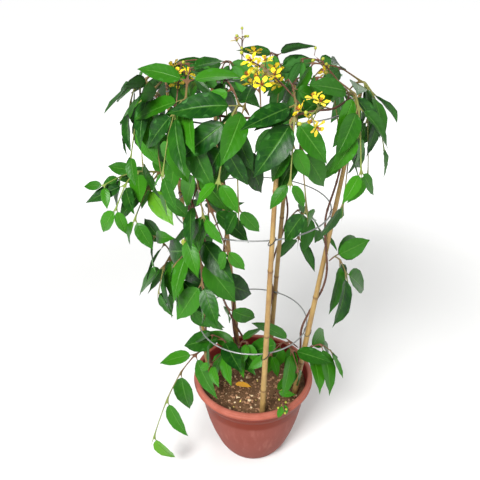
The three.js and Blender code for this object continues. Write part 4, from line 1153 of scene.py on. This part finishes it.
def bend_leaves(tree, leaves, ripple):
    """Moves the points of straight leaves to the arch and the margins' lift of each."""
    share, reach = stored(tree, "share"), stored(tree, "reach")
    along, upper = (stored(tree, name, "FLOAT_VECTOR") for name in ("along", "upper"))
    length, arch = stored(tree, "length"), stored(tree, "arch")
    squared = number(tree, "MULTIPLY", share, share)
    cubed = number(tree, "MULTIPLY", squared, share)
    drop = number(tree, "MULTIPLY", number(tree, "MULTIPLY", length, arch), squared)
    lean = number(tree, "MULTIPLY", number(tree, "MULTIPLY", arch, share), 2.0)
    normal = vector(tree, "NORMALIZE", vector(tree, "ADD", upper, vector(tree, "SCALE", along, lean)))
    powers = add_node(tree, "ShaderNodeCombineXYZ", {0: share, 1: squared, 2: cubed}).outputs[0]
    lifts = [
        vector(tree, "DOT_PRODUCT", stored(tree, name, "FLOAT_VECTOR"), powers)
        for name in ("left_lift", "right_lift")
    ]
    on_right = number(tree, "GREATER_THAN", reach, 0.0)
    lift = add_node(tree, "ShaderNodeMix", {0: on_right, 2: lifts[0], 3: lifts[1]}).outputs[0]
    far = number(tree, "ABSOLUTE", reach)
    lift = number(tree, "MULTIPLY", lift, number(tree, "POWER", far, 1.2))
    phase = number(tree, "MULTIPLY_ADD", share, 21.0, number(tree, "MULTIPLY", reach, 2.0))
    height = number(tree, "MULTIPLY", ripple, number(tree, "MULTIPLY", far, far))
    lift = number(tree, "MULTIPLY_ADD", number(tree, "SINE", phase), height, lift)
    raised = vector(tree, "SCALE", normal, lift)
    offset = vector(tree, "SUBTRACT", raised, vector(tree, "SCALE", upper, drop))
    return add_node(tree, "GeometryNodeSetPosition", {"Geometry": leaves, "Offset": offset}).outputs[0]


# %% Shoot tree
def make_shoot_tree():
    tree, given, end = start_tree("dressed shoot", {
        "Leaf blank": "Object", "Flower blank": "Object", "Bud blank": "Object",
        "Leaf thickness": "Float", "Ripple": "Float", "Stem rounding": "Int",
        "Leaf finish": "Material", "Flower finish": "Material", "Stem finish": "Material",
    })
    leaf_points, rest = chosen_part(tree, given["Geometry"], "is_leaf")
    flower_points, rest = chosen_part(tree, rest, "is_flower")
    bud_points, stem = chosen_part(tree, rest, "is_bud")
    size = add_node(tree, "ShaderNodeCombineXYZ", {
        0: stored(tree, "half_width"), 1: stored(tree, "length"), 2: given["Leaf thickness"],
    }).outputs[0]
    leaves = copies_on(tree, leaf_points, given["Leaf blank"], "Y", ("along", "across"), size)
    leaves = bend_leaves(tree, leaves, given["Ripple"])
    size = stored(tree, "length")
    flowers = copies_on(tree, flower_points, given["Flower blank"], "Z", ("upper", "across"), size)
    buds = copies_on(tree, bud_points, given["Bud blank"], "Z", ("upper", "across"), size)
    round_stem = add_node(tree, "GeometryNodeSubdivisionSurface", {
        "Mesh": stem, "Level": given["Stem rounding"], "Vertex Crease": stored(tree, "is_end"),
    })
    soft_stem = add_node(tree, "GeometryNodeSetShadeSmooth", {0: round_stem.outputs[0]})
    joined = add_node(tree, "GeometryNodeJoinGeometry")
    for part, title in (
        (soft_stem.outputs[0], "Stem finish"), (buds, "Flower finish"), (flowers, "Flower finish"),
        (leaves, "Leaf finish"),
    ):
        inputs = {"Geometry": part, "Material": given[title]}
        painted = add_node(tree, "GeometryNodeSetMaterial", inputs)
        tree.links.new(painted.outputs[0], joined.inputs[0])
    real = add_node(tree, "GeometryNodeRealizeInstances", {0: joined.outputs[0]})
    tree.links.new(real.outputs[0], end[0])
    return tree


shoot_tree = make_shoot_tree()

# %% [markdown]
# ## Leaf, stem and flower finishes
# The leaves are leathery and mid green, some darker and some younger and yellower, with a paler
# midrib and side veins that run forward to the margin. The veins sit a little below the surface
# and the blade swells between them. Underneath, a leaf is paler and dull. The share and reach
# attributes place the veins, and the tint attribute sets each leaf's green. On low leaves the tint
# also holds painted light: they are painted lighter where the lamps light them less.

# %% Leaf finish
SIDE_VEINS = 7.0


def vein_lines(tree, share, far):
    """1 on a side vein, 0 between: veins leave the midrib and run forward to the margin."""
    forward = number(tree, "MULTIPLY", number(tree, "POWER", far, 1.3), 0.2)
    count = number(tree, "MULTIPLY", number(tree, "SUBTRACT", share, forward), SIDE_VEINS)
    away = number(tree, "PINGPONG", count, 0.5)
    return fade(tree, away, 0.1, 0.0), fade(tree, away, 0.5, 0.0)


def make_leaf_finish(name, old, young, lime, pale, rib, under, roughness):
    """A leaf's material: its greens from old to lime, then pale, its ribs and its underside."""
    material, tree, shader = start_finish(name, roughness, Specular_IOR_Level=0.2)
    share, reach, tint = (attribute(tree, title) for title in ("share", "reach", "tint"))
    side = attribute(tree, "side")
    far = number(tree, "ABSOLUTE", reach)
    thin, wide = vein_lines(tree, share, far)
    thin = number(tree, "MULTIPLY", thin, fade(tree, far, 1.0, 0.2, 0.15, 0.8))
    midrib = fade(tree, far, 0.09, 0.02)
    blotch = speckle(tree, 55, 5, 0.6)
    fine = speckle(tree, 700, 3, 0.6)
    colour = mix(tree, fade(tree, tint, 0.0, 0.8), old, young)
    colour = mix(tree, fade(tree, blotch, 0.3, 0.75, 0, 0.3), colour, young)
    colour = mix(tree, fade(tree, tint, 0.8, 0.9), colour, lime)
    colour = mix(tree, fade(tree, tint, 0.95, 1.0), colour, pale)
    colour = mix(tree, number(tree, "MULTIPLY", thin, 0.13), colour, rib)
    colour = mix(tree, number(tree, "MULTIPLY", midrib, 0.34), colour, rib)
    colour = mix(tree, fade(tree, side, 0.0, -0.8, 0, 0.7), colour, under)
    feed(tree, shader, "Base Color", colour)
    below = fade(tree, side, 0.0, -0.5, 0, 0.25)
    above = fade(tree, fine, 0.3, 0.7, roughness - 0.06, roughness + 0.08)
    feed(tree, shader, "Roughness", number(tree, "ADD", above, below))
    grooves = number(tree, "MULTIPLY_ADD", wide, 0.18, midrib)
    relief = number(tree, "SUBTRACT", number(tree, "MULTIPLY", fine, 0.15), grooves)
    emboss(tree, shader, relief, 0.5 * MM)
    return material


leaf_finish = make_leaf_finish(
    "leaf", tone(3, 48, 5), tone(50, 117, 12), tone(84, 144, 18), tone(176, 172, 40),
    tone(96, 150, 58), tone(62, 118, 50), 0.35,
)
dry_finish = make_leaf_finish(
    "dry_leaf", tone(206, 128, 30), tone(232, 168, 50), tone(232, 176, 60), tone(226, 190, 70),
    tone(180, 96, 30), tone(196, 130, 50), 0.55,
)


# %% Stem and flower finishes
def make_stem_finish():
    """Red-brown where the shoot is old, near the cage, and green towards the outside."""
    material, tree, shader = start_finish("shoot_stem", 0.55, Specular_IOR_Level=0.35)
    outward = vector(tree, "LENGTH", vector(tree, "MULTIPLY", place_of(tree), (1, 1, 0)))
    patch = speckle(tree, 60, 4, 0.6)
    youth = number(tree, "ADD", outward, number(tree, "MULTIPLY_ADD", patch, 0.08, -0.04))
    colour = mix(tree, fade(tree, youth, 0.13, 0.24), tone(104, 66, 46), tone(116, 140, 60))
    colour = mix(tree, fade(tree, speckle(tree, 400), 0.5, 0.8, 0, 0.3), colour, tone(150, 116, 84))
    feed(tree, shader, "Base Color", colour)
    emboss(tree, shader, patch, 0.2 * MM)
    return material


def make_flower_finish():
    """Yellow petals, red-brown claws and stamens, and green buds, by the kind attribute."""
    material, tree, shader = start_finish("flower", 0.5)
    kind = attribute(tree, "kind")
    vary = speckle(tree, 120, 4, 0.6)
    petal = mix(tree, vary, tone(232, 196, 10), tone(250, 222, 44))
    colour = mix(tree, fade(tree, kind, 0.2, 0.8), petal, tone(140, 62, 22))
    colour = mix(tree, fade(tree, kind, 1.2, 1.8), colour, tone(158, 164, 44))
    feed(tree, shader, "Base Color", colour)
    emboss(tree, shader, vary, 0.3 * MM)
    return material


stem_finish = make_stem_finish()
flower_finish = make_flower_finish()

# %% [markdown]
# ## Reading flowers and buds
# A CAD flower is a star with its middle raised on a corner that touches all twenty corners of its
# outline. A CAD bud has a belly of three corners that touch each other without a face between.

# %% Find flowers and buds
FLOWER_OUTLINE = 20
PETAL_REACH = 13 * MM
BUD_EDGES = (3.6 * MM, 5.5 * MM)
BUD_RADIUS = 2.6 * MM


def find_flowers(around, corners):
    """The middle corner of each flower, with its facing and its first petal's direction."""
    found = []
    for middle, ring in enumerate(around):
        if len(ring) != FLOWER_OUTLINE:
            continue
        tips = [i for i in ring if np.linalg.norm(corners[i] - corners[middle]) > 0.95 * PETAL_REACH]
        points = corners[tips] - corners[middle]
        facing = unit(points.mean(axis=0))
        spread = np.linalg.svd(points - points.mean(axis=0))[2][2]
        facing = spread if spread @ facing > 0 else -spread
        first = points[0] - facing * (points[0] @ facing)
        found.append({"corners": {middle, *ring}, "place": corners[middle] - facing * 1.5 * MM,
                      "upper": facing, "across": unit(first), "length": 1.0})
    return found


def find_buds(work, around, corners):
    """Each bud's belly of three corners, and the smaller ring of its neck and of its point."""
    found, used = [], set()
    faces = {frozenset(v.index for v in face.verts) for face in work.faces}
    for a, ring in enumerate(around):
        for b in ring:
            for c in ring & around[b]:
                belly = frozenset((a, b, c))
                if not a < b < c or belly in faces or belly & used:
                    continue
                edges = [np.linalg.norm(corners[i] - corners[j]) for i, j in ((a, b), (b, c), (a, c))]
                if min(edges) < BUD_EDGES[0] or max(edges) > BUD_EDGES[1]:
                    continue
                others = set().union(*(around[i] for i in belly)) - belly
                caps = [f for f in faces if f <= others]
                if len(caps) != 1:
                    continue
                middle = corners[list(belly)].mean(axis=0)
                tip = corners[list(caps[0])].mean(axis=0)
                used |= belly
                upper = unit(tip - middle)
                side = unit(corners[a] - middle)
                radius = np.linalg.norm(corners[a] - middle)
                found.append({"corners": set(belly | caps[0]), "place": middle, "upper": upper,
                              "across": side, "length": radius / BUD_RADIUS})
    return found


# %% [markdown]
# ## Building the shoots
# Reading a node gives its leaves, flowers and buds. Their corners are taken out of the merged copy,
# the small holes at the stalks are closed, and what is left is the stem. Subdivision would draw its
# ends in, so their corners are marked and creased.

# %% Read and dress a shoot
# The middles of leaves whose colour is known, and their tints
KNOWN_TINTS = {
    (-0.157, -0.050, 0.619): 0.88, (-0.111, -0.123, 0.570): 0.98, (-0.190, -0.106, 0.090): 0.9,
}
KNOWN_REACH = 0.02
# Leaves below this height are painted lighter, as painted light where the lamps light them less
PAINTED_LIGHT_TOP = 0.3
PAINTED_LIGHT_TINT = 0.35
VECTOR_KEYS = ["along", "across", "upper", "left_lift", "right_lift"]
NUMBER_KEYS = ["length", "arch", "half_width", "tint"]


def tint_of(leaf, index):
    """A leaf's green: small leaves are younger, low ones are painted lighter as painted light, and a few
    leaves are known.
    """
    draw = random.Random(index * 7919 + int(leaf["length"] * 1e5))
    middle = leaf["place"] + leaf["along"] * leaf["length"] / 2
    for place, tint in KNOWN_TINTS.items():
        if np.linalg.norm(middle - np.array(place)) < KNOWN_REACH:
            print(f"  a leaf at {place} has tint {tint}")
            return tint
    youth = np.interp(leaf["length"], (0.035, 0.075), (0.7, 0.25))
    # Low leaves are painted lighter here, as painted light where the lamps light them less
    youth += PAINTED_LIGHT_TINT * (middle[2] < PAINTED_LIGHT_TOP)
    return float(np.clip(youth + draw.uniform(-0.35, 0.35), 0, 0.8))


STEM_SWELL = 0.3 * MM


def read_shoot(node_name, with_leaves=True, with_heads=False):
    """The stem that is left of a node, and its leaves, flowers and buds."""
    work = merged_copy(node_name)
    around = neighbours_of(work)
    corners = np.array([v.co for v in work.verts])
    leaves, gone = [], set()
    if with_leaves:
        for tip in range(len(corners)):
            walked = walk_leaf(tip, around, corners)
            if not walked:
                continue
            sections, stalk_end = walked
            leaves.append(measure_leaf(tip, sections, stalk_end, corners))
            gone |= {tip}.union(*sections)
    flowers = find_flowers(around, corners) if with_heads else []
    buds = find_buds(work, around, corners) if with_heads else []
    for head in flowers + buds:
        gone |= head["corners"]
    bmesh.ops.delete(work, geom=[work.verts[i] for i in sorted(gone)], context="VERTS")
    rims = [e for e in work.edges if e.is_boundary]
    closed = {v for e in rims for v in e.verts}
    bmesh.ops.holes_fill(work, edges=rims, sides=0)
    work.normal_update()
    for vertex in work.verts:
        vertex.co += vertex.normal * STEM_SWELL
        vertex.select = vertex in closed or len(vertex.link_edges) == 3
    return work, leaves, flowers, buds


def make_shoot(node_name, piece_name, slot, leaf_material, **reading):
    """The fine shoot that stands for a CAD node."""
    work, leaves, flowers, buds = read_shoot(node_name, **reading)
    for i, leaf in enumerate(leaves):
        leaf["tint"] = tint_of(leaf, i)
    heads = leaves + flowers + buds
    work.verts.index_update()
    stem_count = len(work.verts)
    points = [v.co for v in work.verts] + [head["place"] for head in heads]
    ends = [float(v.select) for v in work.verts] + [0.0] * len(heads)
    faces = [[v.index for v in face.verts] for face in work.faces]
    work.free()
    mesh = bpy.data.meshes.new(piece_name)
    mesh.from_pydata(points, [], faces)
    groups = {"is_leaf": leaves, "is_flower": flowers, "is_bud": buds}
    for name, group in groups.items():
        chosen = [0.0] * stem_count + [float(any(head is other for other in group)) for head in heads]
        write_attribute(mesh, name, chosen)
    write_attribute(mesh, "is_end", ends)
    for key in VECTOR_KEYS + NUMBER_KEYS:
        empty = [0.0] * 3 if key in VECTOR_KEYS else 0.0
        values = [empty] * stem_count + [head.get(key, empty) for head in heads]
        write_attribute(mesh, key, np.array(values))
    piece = add_piece(piece_name, mesh)
    set_modifier(piece, shoot_tree, {
        "Leaf blank": leaf_blank, "Flower blank": flower_blank, "Bud blank": bud_blank,
        "Leaf thickness": 0.55 * MM, "Ripple": 0.5 * MM, "Stem rounding": 2,
        "Leaf finish": leaf_material, "Flower finish": flower_finish, "Stem finish": stem_finish,
    })
    make_plain(piece)
    settle(piece, slot, node_name)
    print(f"  {len(leaves)} leaves, {len(flowers)} flowers, {len(buds)} buds")
    return len(leaves)


leaf_total = 0
for node_name in sorted(nodes):
    if node_name.startswith(("crown_", "hanging_", "low_", "spray_", "trailing_")):
        leaf_total += make_shoot(node_name, f"{node_name}_leaves", "leaf", leaf_finish)
    elif node_name == "sprig":
        leaf_total += make_shoot(node_name, "sprig_leaves", "leaf", leaf_finish, with_heads=True)
    elif node_name.startswith("raceme_"):
        reading = {"with_leaves": False, "with_heads": True}
        make_shoot(node_name, f"{node_name}_flowers", "flower", leaf_finish, **reading)
    elif node_name == "fallen_leaf":
        make_shoot(node_name, "fallen_leaf_blade", "dry_leaf", dry_finish)
print(f"{leaf_total} green leaves")

# %% [markdown]
# ## The floor
# The blanks have been copied into their pieces and are removed. The plant stands on a plain pale
# floor, which is only a stage and no part of the object. The lamps do not reach its far end, so it
# glows a little there, and the picture stays white up to its top.

# %% Remove blanks and add the floor
for blank in (chip_blank, petal_blank, leaf_blank, flower_blank, bud_blank):
    bpy.data.objects.remove(blank)

FLOOR_HALF = 30
GLOW_SPAN = (0.7, 2.6)
GLOW = 0.74
FLOOR_CORNERS = [(-1, -1), (1, -1), (1, 1), (-1, 1)]
floor_mesh = bpy.data.meshes.new("floor")
corners = [(x * FLOOR_HALF, y * FLOOR_HALF, 0) for x, y in FLOOR_CORNERS]
floor_mesh.from_pydata(corners, [], [(0, 1, 2, 3)])
floor = add_piece("floor", floor_mesh)
floor_finish, floor_tree, floor_shader = start_finish("pale_floor", 0.9)
floor_shader.inputs["Base Color"].default_value = (0.86, 0.86, 0.85, 1)
floor_shader.inputs["Emission Color"].default_value = (1, 1, 1, 1)
away = vector(floor_tree, "LENGTH", place_of(floor_tree))
feed(floor_tree, floor_shader, "Emission Strength", fade(floor_tree, away, *GLOW_SPAN, 0, GLOW))
floor_mesh.materials.append(floor_finish)
